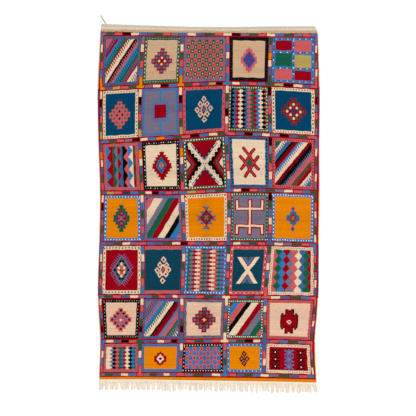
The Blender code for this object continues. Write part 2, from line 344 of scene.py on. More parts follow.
def cell_size(column, row):
    """Width and height of the cell under a lattice column and row."""
    x, y = table_points([column, column + 1], [row, row + 1])
    return np.mean(x[:, 1] - x[:, 0]), np.mean(y[0] - y[1])


def even_places(places, axis, middle):
    """Lattice places moved so that shares of a cell count evenly along it."""
    cells = COLUMNS if axis == "across" else ROWS
    fine = cell_places(cells, FINE_STEPS)
    if axis == "across":
        along = cloth_points(fine, [middle])[0][0]
    else:
        along = -cloth_points([middle], fine)[1][:, 0]
    wanted = np.interp(places, np.arange(cells + 1), along[::FINE_STEPS])
    return np.interp(wanted, along, fine)


# Meshes

# Places on the bake map: a piece on its own, and the face, the back and the edges of the
# ground cloth together
MapArea = namedtuple("MapArea", "left right bottom top")
WHOLE_MAP = MapArea(0.01, 0.99, 0.01, 0.99)
FACE_MAP = MapArea(0.005, 0.495, 0.03, 0.995)
BACK_MAP = MapArea(0.505, 0.995, 0.03, 0.995)
EDGE_MAP = MapArea(0.005, 0.995, 0.005, 0.02)

# Height of a brocaded piece's rim against the ground's face, in millimetres
RIM_LIFT = -0.3


def add_mesh(name, points, quads, colours, uv, material):
    """A piece of quads, with a dye for each and the corners of each on the bake map."""
    mesh = bpy.data.meshes.new(name)
    mesh.vertices.add(len(points))
    mesh.vertices.foreach_set("co", points.astype(np.float32).ravel())
    mesh.loops.add(quads.size)
    mesh.loops.foreach_set("vertex_index", quads.astype(np.int32).ravel())
    mesh.polygons.add(len(quads))
    mesh.polygons.foreach_set("loop_start", np.arange(0, quads.size, 4, dtype=np.int32))
    mesh.update(calc_edges=True)
    corners = np.ones((quads.size, 4), dtype=np.float32)
    corners[:, :3] = np.repeat(colours, 4, axis=0)
    dye = mesh.color_attributes.new(name="Dye", type="FLOAT_COLOR", domain="CORNER")
    dye.data.foreach_set("color", corners.ravel())
    bake = mesh.uv_layers.new(name=BAKE_MAP)
    bake.data.foreach_set("uv", uv.astype(np.float32).ravel())
    mesh.shade_smooth()
    mesh.materials.append(material)
    piece = bpy.data.objects.new(name, mesh)
    bpy.context.scene.collection.objects.link(piece)
    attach(piece, BODY)
    return piece


def grid_quads(rows, columns):
    """Quads of a grid of points, counted row by row."""
    corner = np.arange(rows * columns).reshape(rows, columns)
    quads = [corner[:-1, :-1], corner[1:, :-1], corner[1:, 1:], corner[:-1, 1:]]
    return np.stack(quads, axis=-1).reshape(-1, 4)


def grid_uv(rows, columns, area=WHOLE_MAP):
    """Bake places of a grid of points, spread over an area of the map."""
    along = np.linspace(area.left, area.right, columns)
    across, down = np.meshgrid(along, np.linspace(area.top, area.bottom, rows))
    return np.stack([across, down], axis=-1).reshape(-1, 2)


def add_sheet(name, x, y, z, colours, material):
    """A piece woven as one grid, with a colour for each of its cells."""
    points = np.stack([x, y, z], axis=-1).reshape(-1, 3)
    quads = grid_quads(*x.shape)
    uv = grid_uv(*x.shape)[quads].reshape(-1, 2)
    return add_mesh(name, points, quads, colours.reshape(-1, 3), uv, material)


def vertex_lift(lift):
    """Heights of stitches taken to their corners, with the rim sunk into the cloth."""
    full = np.pad(lift, 1, mode="edge")
    corners = (full[:-1, :-1] + full[1:, :-1] + full[:-1, 1:] + full[1:, 1:]) / 4
    corners[[0, -1], :] = RIM_LIFT
    corners[:, [0, -1]] = RIM_LIFT
    return corners * MM


def cell_middles(grid):
    """Values in the middles of a grid's cells, along one diagonal."""
    return (grid[1:, 1:] + grid[:-1, :-1]) / 2


def middles_of(stations):
    return (stations[1:] + stations[:-1]) / 2


def yarn_colours(letters, rng, weft=0.05, stitch=0.06):
    """Colours of stitches, each weft row and each stitch a little different."""
    colours = np.zeros(letters.shape + (3,))
    for letter, colour in dye_table().items():
        colours[letters == letter] = colour
    rows = 1 + weft * rng.standard_normal((letters.shape[0], 1, 1))
    single = 1 + stitch * rng.standard_normal(letters.shape + (1,))
    return np.clip(colours * rows * single, 0.0, 1.0)


# Materials

NODE_SPACING = 180
# Noise scales of the yarn's wander, its fuzz, its flecks and, by axis, its dye bars
WANDER_SCALE = 60.0
FUZZ_SCALE = 900.0
FLECK_SCALE = 260.0
BAR_SCALE = (3.0, 26.0, 3.0)
# Shares of the ribs, of their crossings and of the fuzz in the weave's height
RIB_SHARE = 0.35
CROSSING_SHARE = 0.25
FUZZ_SHARE = 0.3
MIDDLE_HEIGHT = 0.5
FLECK_GLOSS = 0.25
BUMP_STRENGTH = 0.7
SHEEN_ROUGHNESS = 0.6
YARN_SPECULAR = 0.02


class NodeMaker:
    """Places and joins shader nodes, left to right."""

    def __init__(self, tree):
        self.tree = tree
        self.column = 0

    def add(self, kind, **settings):
        node = self.tree.nodes.new(kind)
        node.location = (self.column * NODE_SPACING, 0)
        self.column += 1
        for name, value in settings.items():
            setattr(node, name, value)
        return node

    def join(self, source, target):
        self.tree.links.new(source, target)

    def math(self, operation, first, second=None):
        node = self.add("ShaderNodeMath", operation=operation)
        for socket, value in zip(node.inputs, (first, second)):
            if isinstance(value, (int, float)):
                socket.default_value = value
            elif value is not None:
                self.join(value, socket)
        return node.outputs[0]

    def noise(self, vector, scale, detail=2.0):
        node = self.add("ShaderNodeTexNoise")
        node.inputs["Scale"].default_value = scale
        node.inputs["Detail"].default_value = detail
        self.join(vector, node.inputs["Vector"])
        return node.outputs["Fac"]


def new_group(name, inputs, outputs):
    """An empty node group with its sockets, its node maker and its input node's outputs."""
    group = bpy.data.node_groups.new(name, "ShaderNodeTree")
    for label, kind, value in inputs:
        socket = group.interface.new_socket(label, in_out="INPUT", socket_type=kind)
        socket.default_value = value
    for label, kind in outputs:
        group.interface.new_socket(label, in_out="OUTPUT", socket_type=kind)
    maker = NodeMaker(group)
    return group, maker, maker.add("NodeGroupInput").outputs


def weave_relief_group():
    """Height of weft ribs that cross warps, wandering as hand-spun yarn does."""
    name = "Weave Relief"
    if name in bpy.data.node_groups:
        return bpy.data.node_groups[name]
    inputs = [
        ("Weft Pitch", "NodeSocketFloat", 0.0034),
        ("Warp Pitch", "NodeSocketFloat", 0.0068),
        ("Wander", "NodeSocketFloat", 0.6),
    ]
    outputs = [("Height", "NodeSocketFloat"), ("Groove", "NodeSocketFloat")]
    group, maker, given = new_group(name, inputs, outputs)
    place = maker.add("ShaderNodeTexCoord").outputs["Object"]
    split = maker.add("ShaderNodeSeparateXYZ")
    maker.join(place, split.inputs[0])
    drift = maker.math("MULTIPLY", maker.noise(place, WANDER_SCALE), given["Wander"])
    waves = []
    for axis, pitch in (("Y", "Weft Pitch"), ("X", "Warp Pitch")):
        count = maker.math("DIVIDE", split.outputs[axis], given[pitch])
        turn = maker.math("MULTIPLY", maker.math("ADD", count, drift), 2 * math.pi)
        waves.append(maker.math("SINE", turn))
    crossing = maker.math("MULTIPLY", maker.math("MULTIPLY", *waves), CROSSING_SHARE)
    rib = maker.math("MULTIPLY", waves[0], RIB_SHARE)
    height = maker.math("ADD", maker.math("ADD", rib, crossing), MIDDLE_HEIGHT)
    fuzz = maker.math("MULTIPLY", maker.noise(place, FUZZ_SCALE, detail=3.0), FUZZ_SHARE)
    done = maker.add("NodeGroupOutput").inputs
    maker.join(maker.math("ADD", height, fuzz), done["Height"])
    maker.join(height, done["Groove"])
    return group


def dye_and_groove_shade_group():
    """Yarn colour with uneven dye in broad bars and small flecks, and painted shade that darkens
    the grooves between ribs.
    """
    name = "Dye Depth"
    if name in bpy.data.node_groups:
        return bpy.data.node_groups[name]
    inputs = [
        ("Colour", "NodeSocketColor", (0.5, 0.5, 0.5, 1.0)),
        ("Groove", "NodeSocketFloat", 0.5),
        ("Bars", "NodeSocketFloat", 0.16),
        ("Flecks", "NodeSocketFloat", 0.18),
        ("Groove Shade", "NodeSocketFloat", 0.25),
    ]
    outputs = [("Colour", "NodeSocketColor"), ("Roughness", "NodeSocketFloat")]
    group, maker, given = new_group(name, inputs, outputs)
    place = maker.add("ShaderNodeTexCoord").outputs["Object"]
    stretch = maker.add("ShaderNodeMapping")
    stretch.inputs["Scale"].default_value = BAR_SCALE
    maker.join(place, stretch.inputs["Vector"])
    flecks = maker.noise(place, FLECK_SCALE)
    total = 1.0
    # The dye's bars and flecks, and the painted shade of the grooves, each scale the colour
    for value, share in (
        (maker.noise(stretch.outputs["Vector"], 1.0), "Bars"),
        (flecks, "Flecks"),
        (given["Groove"], "Groove Shade"),
    ):
        part = maker.math("MULTIPLY", maker.math("SUBTRACT", value, 0.5), given[share])
        total = maker.math("ADD", part, total)
    tint = maker.add("ShaderNodeVectorMath", operation="SCALE")
    maker.join(given["Colour"], tint.inputs[0])
    maker.join(total, tint.inputs["Scale"])
    done = maker.add("NodeGroupOutput").inputs
    maker.join(tint.outputs["Vector"], done["Colour"])
    rough = maker.math("SUBTRACT", 1.0, maker.math("MULTIPLY", flecks, FLECK_GLOSS))
    maker.join(rough, done["Roughness"])
    return group


# A yarn's pitches and its relief are in metres, the rest are shares; groove is the share of
# painted shade in the grooves between ribs
YarnLook = namedtuple("YarnLook", "weft_pitch warp_pitch wander bars flecks groove relief sheen")
YARN_LOOKS = {
    "brocaded_wool": YarnLook(0.0034, 0.0066, 0.5, 0.14, 0.3, 0.3, 0.0011, 0.01),
    "ground_wool": YarnLook(0.0028, 0.0056, 0.5, 0.14, 0.25, 0.3, 0.0008, 0.01),
    "plaited_cotton": YarnLook(0.002, 0.004, 0.9, 0.1, 0.25, 0.25, 0.0005, 0.05),
    "corded_cotton": YarnLook(0.0022, 0.003, 0.9, 0.1, 0.25, 0.3, 0.0005, 0.05),
    "fringe_cotton": YarnLook(0.0022, 0.0018, 1.2, 0.12, 0.2, 0.12, 0.0003, 0.05),
}


def yarn_material(name):
    """A yarn's finish, coloured by the piece's own dye."""
    if name in bpy.data.materials:
        return bpy.data.materials[name]
    look = YARN_LOOKS[name]
    material = bpy.data.materials.new(name)
    material.use_nodes = True
    tree = material.node_tree
    shader = tree.nodes["Principled BSDF"].inputs
    maker = NodeMaker(tree)
    dye = maker.add("ShaderNodeAttribute", attribute_name="Dye").outputs["Color"]
    relief = maker.add("ShaderNodeGroup", node_tree=weave_relief_group())
    relief.inputs["Weft Pitch"].default_value = look.weft_pitch
    relief.inputs["Warp Pitch"].default_value = look.warp_pitch
    relief.inputs["Wander"].default_value = look.wander
    # Uneven dye and painted shade in the grooves between ribs colour the yarn
    depth = maker.add("ShaderNodeGroup", node_tree=dye_and_groove_shade_group())
    depth.inputs["Bars"].default_value = look.bars
    depth.inputs["Flecks"].default_value = look.flecks
    depth.inputs["Groove Shade"].default_value = look.groove
    maker.join(dye, depth.inputs["Colour"])
    maker.join(relief.outputs["Groove"], depth.inputs["Groove"])
    bump = maker.add("ShaderNodeBump")
    bump.inputs["Distance"].default_value = look.relief
    bump.inputs["Strength"].default_value = BUMP_STRENGTH
    maker.join(relief.outputs["Height"], bump.inputs["Height"])
    maker.join(depth.outputs["Colour"], shader["Base Color"])
    maker.join(depth.outputs["Roughness"], shader["Roughness"])
    maker.join(bump.outputs["Normal"], shader["Normal"])
    shader["Sheen Weight"].default_value = look.sheen
    shader["Sheen Roughness"].default_value = SHEEN_ROUGHNESS
    shader["Specular IOR Level"].default_value = YARN_SPECULAR
    return material


# Ground cloth

# Points of the ground's grid on each lattice column and row, with both ends counted
COLUMN_POINTS = (5, 24, 24, 24, 24, 24, 5)
ROW_POINTS = (19, 28, 28, 28, 28, 28, 28, 18, 11)

# Lattice rows where the bands of the heading end and the foot band begins. The cotton band
# is deeper on the left: its end for some lattice columns.
COTTON_ENDS = ((0, 0.42), (1, 0.42), (2, 0.3), (7, 0.24))
BEIGE_END = 0.72
BEIGE_RAGGED = 0.025
FOOT_START = 8.45
# Share of the outer columns that shows the selvedge's own yarn
SELVEDGE_SHARE = 0.3

# The back: its height over the floor, the end of its heading band, and half the width and
# height of its plain cells as shares of the lattice's cells
BACK_HEIGHT = 0.2 * MM
BACK_BAND_END = 0.68
BACK_CELL_HALF = (0.43, 0.44)


def ground_stations(counts):
    """Lattice places of the ground's grid, with so many points on each cell."""
    spans = [np.linspace(k, k + 1, count)[:-1] for k, count in enumerate(counts)]
    return np.append(np.concatenate(spans), len(counts))


def face_letters(columns, rows, rng):
    """Dye of each part of the ground's face: heading bands, lattice, foot and selvedges."""
    u, v = np.meshgrid(middles_of(columns), middles_of(rows))
    letters = np.full(u.shape, "R")
    cotton_end = np.interp(u, *zip(*COTTON_ENDS))
    ragged = BEIGE_RAGGED * rng.standard_normal(u.shape)
    letters[v < BEIGE_END + ragged] = "W"
    letters[v < cotton_end] = "E"
    letters[v > FOOT_START] = "O"
    row = np.clip(np.floor(v).astype(int), 1, len(SELVEDGE_DYES))
    outer = (u < SELVEDGE_SHARE) | (u > COLUMNS - SELVEDGE_SHARE)
    edge = outer & (v >= BEIGE_END) & (v <= FOOT_START)
    for k, dye in enumerate(SELVEDGE_DYES, start=1):
        letters[edge & (row == k)] = dye
    return letters


def back_letters(columns, rows):
    """Dye of each part of the back: plain cells of the panels' grounds in the lattice."""
    u, v = np.meshgrid(middles_of(columns), middles_of(rows))
    letters = np.full(u.shape, "R")
    letters[v < BACK_BAND_END] = "W"
    letters[v > FOOT_START] = "O"
    half_width, half_height = BACK_CELL_HALF
    for row, grounds in enumerate(BACK_DYES, start=1):
        for column, dye in enumerate(grounds, start=1):
            across, down = np.abs(u - column - 0.5), np.abs(v - row - 0.5)
            letters[(across < half_width) & (down < half_height)] = dye
    return letters


def wall_uv(count):
    """Bake places of the four edges, in a narrow strip below the face and the back."""
    along = np.linspace(EDGE_MAP.left, EDGE_MAP.right, count + 1)
    high, low = np.full(count, EDGE_MAP.top), np.full(count, EDGE_MAP.bottom)
    corners = [(along[:-1], high), (along[1:], high), (along[1:], low), (along[:-1], low)]
    return np.stack([np.stack(corner, axis=-1) for corner in corners], axis=1).reshape(-1, 2)


def add_ground():
    """The whole ground cloth as one closed slab, its back in the panels' ground colours."""
    rng = np.random.default_rng(sizes().seed)
    columns, rows = ground_stations(COLUMN_POINTS), ground_stations(ROW_POINTS)
    x, y = cloth_points(columns, rows)
    face_points = np.stack([x, y, face_height(x, y)], axis=-1).reshape(-1, 3)
    back_points = np.stack([x, y, np.full_like(x, BACK_HEIGHT)], axis=-1).reshape(-1, 3)
    count = x.size
    face = grid_quads(*x.shape)
    back = grid_quads(*x.shape)[:, ::-1]
    number = np.arange(count).reshape(x.shape)
    rim = np.concatenate([number[0], number[1:, -1], number[-1, -2::-1], number[-2:0:-1, 0]])
    after = np.roll(rim, -1)
    walls = np.stack([rim, after, after + count, rim + count], axis=-1)
    letters = face_letters(columns, rows, rng)
    # Painted shade: face colours darkened along the folds
    shade = painted_crease_shade(cell_middles(x), cell_middles(y))[..., None]
    face_colours = (yarn_colours(letters, rng) * shade).reshape(-1, 3)
    back_colours = yarn_colours(back_letters(columns, rows), rng).reshape(-1, 3)
    edges = [letters[0], letters[:, -1], letters[-1, ::-1], letters[::-1, 0]]
    wall_colours = yarn_colours(np.concatenate(edges)[:, None], rng).reshape(-1, 3)
    face_uv = grid_uv(*x.shape, FACE_MAP)[face].reshape(-1, 2)
    back_uv = grid_uv(*x.shape, BACK_MAP)[back].reshape(-1, 2)
    ground = add_mesh(
        "ground_weave",
        np.concatenate([face_points, back_points]),
        np.concatenate([face, back + count, walls]),
        np.concatenate([face_colours, back_colours, wall_colours]),
        np.concatenate([face_uv, back_uv, wall_uv(len(rim))]),
        yarn_material("ground_wool"),
    )
    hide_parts("woven_field")
    return ground


# Plait, cord and fringe

# Share of its strip of the bake map that a tube leaves free on each side
TUBE_MARGIN = 0.1


def tube(path, radii, sides, flat=1.0):
    """Points and quads of a round tube along a path that lies almost level."""
    path = np.asarray(path, dtype=float)
    radii = np.broadcast_to(radii, len(path))[:, None, None]
    ahead = np.gradient(path, axis=0)
    ahead /= np.linalg.norm(ahead, axis=1)[:, None]
    aside = np.cross(ahead, (0.0, 0.0, 1.0))
    aside /= np.linalg.norm(aside, axis=1)[:, None]
    up = np.cross(aside, ahead)
    turn = (np.arange(sides) / sides * 2 * math.pi)[None, :, None]
    rings = path[:, None] + np.cos(turn) * aside[:, None] * radii
    rings = rings + np.sin(turn) * up[:, None] * radii * flat
    number = np.arange(len(path) * sides).reshape(len(path), sides)
    after = np.roll(number, -1, axis=1)
    quads = np.stack([number[:-1], number[1:], after[1:], after[:-1]], axis=-1)
    return rings.reshape(-1, 3), quads.reshape(-1, 4)


def tube_uv(rings, sides, left, right):
    """Bake places of a tube's quads, in one upright strip of the map."""
    across = np.linspace(left, right, sides + 1)
    along = np.linspace(WHOLE_MAP.bottom, WHOLE_MAP.top, rings)
    k, s = np.meshgrid(np.arange(rings - 1), np.arange(sides), indexing="ij")
    corners = [(s, k), (s, k + 1), (s + 1, k + 1), (s + 1, k)]
    uv = np.stack([np.stack([across[a], along[b]], axis=-1) for a, b in corners], axis=2)
    return uv.reshape(-1, 2)


def join_tubes(tubes, sides):
    """Points, quads and bake places of many tubes as one mesh."""
    points, quads, uvs = [], [], []
    first = 0
    for k, (ring_points, ring_quads) in enumerate(tubes):
        points.append(ring_points)
        quads.append(ring_quads + first)
        first += len(ring_points)
        rings = len(ring_points) // sides
        left, right = ((k + end) / len(tubes) for end in (TUBE_MARGIN, 1 - TUBE_MARGIN))
        uvs.append(tube_uv(rings, sides, left, right))
    return np.concatenate(points), np.concatenate(quads), np.concatenate(uvs)


# Sides of a plaited or laid strand, and of a single yarn of the fringe
STRAND_SIDES = 8
YARN_SIDES = 5

# How far the plait's lobes reach past half its width, and the gap that plait and fringe
# keep to the cloth
PLAIT_SWAY = 0.6 * MM
CLOTH_GAP = 0.4 * MM
PLAIT_STRANDS = 3
PLAIT_RING_STEP = 2.4 * MM
# A strand's radius as a share of the plait's width, and its height as a share of its width
PLAIT_STRAND_SHARE = 0.19
PLAIT_FLATNESS = 0.7
# Share of the plait's height by which a strand rises and sinks
PLAIT_RISE = 0.18
# Unevenness of a strand's thickness: its share, and radians for each metre
PLAIT_UNEVEN_SHARE = 0.05
PLAIT_UNEVEN_WAVE = 37
# Share of the ecru that is left where the yarns shade each other
PLAIT_SHADE = 0.93


def plait_middle(x):
    """How far upward the plait's middle lies over a place on the heading edge."""
    edge = np.interp(x, *edge_points(0))
    return edge + sizes().plait_width / 2 + PLAIT_SWAY + CLOTH_GAP


def add_plait():
    """Three strands of warp ends, plaited along the heading edge."""
    kilim = sizes()
    rng = np.random.default_rng(kilim.seed + 1)
    low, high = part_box("heading_plait")
    thick = PLAIT_STRAND_SHARE * kilim.plait_width
    x = np.arange(low[0] + thick, high[0] - thick, PLAIT_RING_STEP)
    strands = []
    for k in range(PLAIT_STRANDS):
        turn = (x - x[0]) / kilim.plait_pitch * math.pi + k * 2 * math.pi / PLAIT_STRANDS
        across = (kilim.plait_width / 2 - thick) * np.sin(turn)
        height = kilim.plait_height * (0.5 + PLAIT_RISE * np.sin(2 * turn))
        path = np.stack([x, plait_middle(x) + across, height], axis=-1)
        radii = thick * (1 + PLAIT_UNEVEN_SHARE * np.sin(PLAIT_UNEVEN_WAVE * x + k))
        strands.append(tube(path, radii, STRAND_SIDES, flat=PLAIT_FLATNESS))
    points, quads, uv = join_tubes(strands, STRAND_SIDES)
    letters = np.full((len(quads), 1), "E")
    colours = yarn_colours(letters, rng, stitch=0.02).reshape(-1, 3) * PLAIT_SHADE
    material = yarn_material("plaited_cotton")
    plait = add_mesh("braided_heading", points, quads, colours, uv, material)
    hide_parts("heading_plait")


# The loose end's route, in centimetres from its start on the side of a plait lobe
CORD_ROUTE_CM = ((0.0, 0.0), (-0.4, 1.3), (-1.5, 2.8), (-2.5, 4.3), (-3.0, 5.9))
CORD_GAP = 0.3 * MM
CORD_LOBE = 2
CORD_RINGS = 60
LAY_LENGTH = 14 * MM
CORD_STRANDS = 2
# Shares of the cord's diameter: how far a strand's middle lies from the cord's, how much of
# that counts upward, and the strand's radius
CORD_STRAND_OFFSET = 0.25
CORD_STRAND_RISE = 0.6
CORD_STRAND_SHARE = 0.34
# Share of its radius that a strand loses on its way, most of it close to the bare end
CORD_THINNING = 0.35
CORD_THINNING_POWER = 4
CORD_SHADE = 0.62


def cord_path():
    """Centres along the loose end, from the plait outward."""
    kilim = sizes()
    low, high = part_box("heading_plait")
    steps = 2 * round((high[0] - low[0]) / kilim.plait_pitch)
    x = low[0] + (high[0] - low[0]) * 2 * CORD_LOBE / steps
    y = plait_middle(x) + PLAIT_SWAY + kilim.plait_width / 2 + CORD_GAP
    route = np.array(CORD_ROUTE_CM) * CM + (x, y)
    guides = np.concatenate([route[:1], route, route[-1:]])
    level = smooth_values(guides, np.linspace(1, len(route), CORD_RINGS))
    return np.column_stack([level, np.full(len(level), kilim.cord_diameter / 2)])


def add_cord():
    """The plait's loose end: two strands laid round each other."""
    kilim = sizes()
    rng = np.random.default_rng(kilim.seed + 2)
    path = cord_path()
    steps = np.linalg.norm(np.diff(path, axis=0), axis=1)
    reached = np.concatenate([[0], np.cumsum(steps)])
    ahead = np.gradient(path, axis=0)
    aside = np.cross(ahead, (0, 0, 1.0))
    aside /= np.linalg.norm(aside, axis=1)[:, None]
    rise = np.array((0, 0, CORD_STRAND_RISE))
    offset = CORD_STRAND_OFFSET * kilim.cord_diameter
    thinning = 1 - CORD_THINNING * (reached / reached[-1]) ** CORD_THINNING_POWER
    thick = CORD_STRAND_SHARE * kilim.cord_diameter * thinning
    strands = []
    for k in range(CORD_STRANDS):
        start = k * 2 * math.pi / CORD_STRANDS
        turn = (reached / LAY_LENGTH * 2 * math.pi + start)[:, None]
        strand = path + offset * (aside * np.cos(turn) + rise * np.sin(turn))
        strands.append(tube(strand, thick, STRAND_SIDES))
    points, quads, uv = join_tubes(strands, STRAND_SIDES)
    letters = np.full((len(quads), 1), "E")
    colours = yarn_colours(letters, rng).reshape(-1, 3) * CORD_SHADE
    material = yarn_material("corded_cotton")
    cord = add_mesh("twisted_corner_cord", points, quads, colours, uv, material)
    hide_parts("corner_cord")


# Locks of the fringe, as the solid has them
LOCKS = 84
LOCK_LENGTH_SPREAD = 8 * MM
LOCK_LEAN = 5.5 * MM
LOCK_PAIRING = 4.5 * MM
LOCK_SPLAY = 14 * MM
LOCK_SPREAD = 1.0
SPLAY_POWER = 9
LOCK_SEED = 7
# Shares of a lock's lean, drift and width on its way down
LockStation = namedtuple("LockStation", "down lean drift width")
LOCK_STATIONS = (
    LockStation(-0.12, 0.0, 0.0, 1.0),
    LockStation(0.0, 0.0, 0.0, 1.0),
    LockStation(0.35, 0.7, 0.4, 0.95),
    LockStation(0.75, 1.0, 0.8, 0.75),
    LockStation(1.0, 0.5, 1.0, 0.6),
)

# A yarn in a lock: its crimp, with the least and most radians of its waves and of their
# start, and the least and most of the lock's length that it takes
YARN_RINGS = 11
YARN_CRIMP = 0.7 * MM
CRIMP_WAVES = (5, 11)
CRIMP_STARTS = (0, 6)
YARN_REACH = (0.86, 1.04)
# Its height over the floor, with a wave in radians for its length, and how far its end sinks
YARN_HEIGHT = 1.85 * MM
YARN_RISE = 0.5 * MM
YARN_RISE_WAVE = 7
YARN_SINK = 0.3 * MM
# Its radius in millimetres for shares of the way down
YARN_RADII_MM = ((-0.12, 1.3), (0.8, 1.15), (1.0, 0.5))
YARN_SHADE_SPREAD = 0.07


def add_fringe():
    """Warp ends in locks of loose yarns."""
    kilim = sizes()
    lock_rng = np.random.default_rng(LOCK_SEED)
    rng = np.random.default_rng(kilim.seed + 3)
    edge_x, edge_y = edge_points(ROWS)
    pitch = (edge_x[-1] - edge_x[0]) / LOCKS
    down, lean_share, drift_share, width_share = np.array(LOCK_STATIONS).T
    fine = np.linspace(down[0], 1.0, YARN_RINGS)
    radii = np.interp(fine, *zip(*YARN_RADII_MM)) * MM
    yarns = []
    for index in range(LOCKS):
        length = kilim.lock_length + LOCK_LENGTH_SPREAD * lock_rng.uniform(-1, 1)
        splay = LOCK_SPLAY * (2 * (index + 0.5) / LOCKS - 1) ** SPLAY_POWER
        pairing = LOCK_PAIRING * (1 - 2 * (index % 2)) * lock_rng.uniform(0, 1)
        lean = LOCK_LEAN * lock_rng.uniform(-1, 1)
        aside = lean * np.interp(fine, down, lean_share)
        aside = aside + (pairing + splay) * np.interp(fine, down, drift_share)
        root_x = edge_x[0] + pitch * (index + 0.5)
        root_y = np.interp(root_x, edge_x, edge_y) - CLOTH_GAP - kilim.root_strip
        width = pitch * LOCK_SPREAD * np.interp(fine, down, width_share)
        for k in range(kilim.yarns_in_lock):
            place = (k + 0.5) / kilim.yarns_in_lock - 0.5
            waves, start = rng.uniform(*CRIMP_WAVES), rng.uniform(*CRIMP_STARTS)
            crimp = YARN_CRIMP * np.sin(fine * waves + start)
            x = root_x + width * place + aside + crimp
            y = root_y - fine * length * rng.uniform(*YARN_REACH)
            wave = np.sin(fine * YARN_RISE_WAVE + k)
            z = YARN_HEIGHT + YARN_RISE * wave - YARN_SINK * fine
            yarns.append(tube(np.stack([x, y, z], axis=-1), radii, YARN_SIDES))
    points, quads, uv = join_tubes(yarns, YARN_SIDES)
    yarn_shade = 1 + YARN_SHADE_SPREAD * rng.standard_normal(len(yarns))
    yarn_shade = np.repeat(yarn_shade, len(quads) // len(yarns))
    letters = np.full((len(quads), 1), "X")
    colours = yarn_colours(letters, rng, weft=0.0, stitch=0.03).reshape(-1, 3)
    colours = np.clip(colours * yarn_shade[:, None], 0, 1)
    material = yarn_material("fringe_cotton")
    fringe = add_mesh("warp_fringe_yarns", points, quads, colours, uv, material)
    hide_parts("warp_fringe")


# The fringe's root band: its heights from the cloth outward, how far it covers the yarns,
# and its unevenness, with radians for each metre
ROOT_PROFILE_MM = (0.2, 2.6, 3.2, 3.4, 3.3, 2.8, 0.4)
ROOT_COVER = 1.2 * MM
ROOT_UNEVEN_SHARE = 0.05
ROOT_UNEVEN_WAVE = 420


def add_fringe_roots():
    """A narrow band of crosswise cotton weft that holds the fringe's roots."""
    kilim = sizes()
    rng = np.random.default_rng(kilim.seed + 4)
    x, y = cloth_points(cell_places(COLUMNS, FINE_STEPS), [ROWS])
    down = np.linspace(CLOTH_GAP / 2, kilim.root_strip + ROOT_COVER, len(ROOT_PROFILE_MM))
    x = np.repeat(x, len(down), axis=0)
    uneven = 1 + ROOT_UNEVEN_SHARE * np.sin(x * ROOT_UNEVEN_WAVE)
    z = np.array(ROOT_PROFILE_MM)[:, None] * MM * uneven
    letters = np.full((x.shape[0] - 1, x.shape[1] - 1), "X")
    colours = yarn_colours(letters, rng, stitch=0.07)
    material = yarn_material("fringe_cotton")
    name = "fringe_root_band"
    return add_sheet(name, x, y - down[:, None], z, colours, material)


# Block strips

# Points of a strip's grid: over its width, and along it between lattice places
STRIP_WIDTH_POINTS = 9
CROSSWISE_POINTS = 441
CROSSWISE_SPAN = (0.8, 6.2)
LENGTHWISE_POINTS = 701
# The row of panels whose cells stand for the width of all
WIDTH_ROW = 3
# A crosswise block is no longer than its cell's width over this
LEAST_BLOCKS = 4
# Half the line between two blocks, and the clear space above and below a lengthwise
# strip's blocks, as shares of a cell
HALF_LINE = 0.009
BLOCKS_CLEAR = 0.042
LAST_BLOCKS_CLEAR = 0.062
# Shares of half the width and of the edge that the outermost lengthwise strips show outward
OUTER_HALF_SHARE = 0.6
OUTER_EDGE_SHARE = 0.4
# Wander of the strips, each with its radians for each cell
StripWave = namedtuple("StripWave", "height wave")
CROSSWISE_WAVES = (StripWave(0.9 * MM, 17), StripWave(0.6 * MM, 61))
LENGTHWISE_WAVE = StripWave(1.1 * MM, 13)
# Heights over the ground's face, in millimetres
StripLifts = namedtuple("StripLifts", "block line")
CROSSWISE_LIFTS = StripLifts(1.3, 0.5)
LENGTHWISE_LIFTS = StripLifts(1.2, 0.45)


def crosswise_blocks(line, columns):
    """Dye of each place along a crosswise strip, and whether it lies in a gap."""
    letters = np.full(len(columns), CROSSWISE_BLOCKS[line][0])
    gap = np.zeros(len(columns), dtype=bool)
    offset = 0.5 if line == OFFSET_LINE else 0.0
    for k, word in enumerate(CROSSWISE_BLOCKS[line].split(), start=1):
        for i, dye in enumerate(word):
            start = k + (i + offset - 0.5) / max(len(word), LEAST_BLOCKS)
            letters[columns >= start] = dye
            gap |= np.abs(columns - start) < HALF_LINE
    return letters, gap


def add_strip(name, x, y, letters, lift, rng):
    """A strip of brocade, laid on the ground's face with its folds."""
    z = face_height(x, y) + vertex_lift(lift)
    # Painted shade: strip colours darkened along the folds
    shade = painted_crease_shade(cell_middles(x), cell_middles(y))[..., None]
    colours = yarn_colours(letters, rng) * shade
    return add_sheet(name, x, y, z, colours, yarn_material("brocaded_wool"))


def end_dye(column, row, first):
    """Dye of the block of a lengthwise strip that touches a crosswise strip."""
    words = LENGTHWISE_BLOCKS[column - 1].split()
    if not 1 <= row <= len(words):
        return ""
    return words[row - 1][0 if first else -1]


def crosswise_dye(line, column):
    """Dye of the crosswise block that lies on a lengthwise strip."""
    return crosswise_blocks(line, np.array([column]))[0][0]


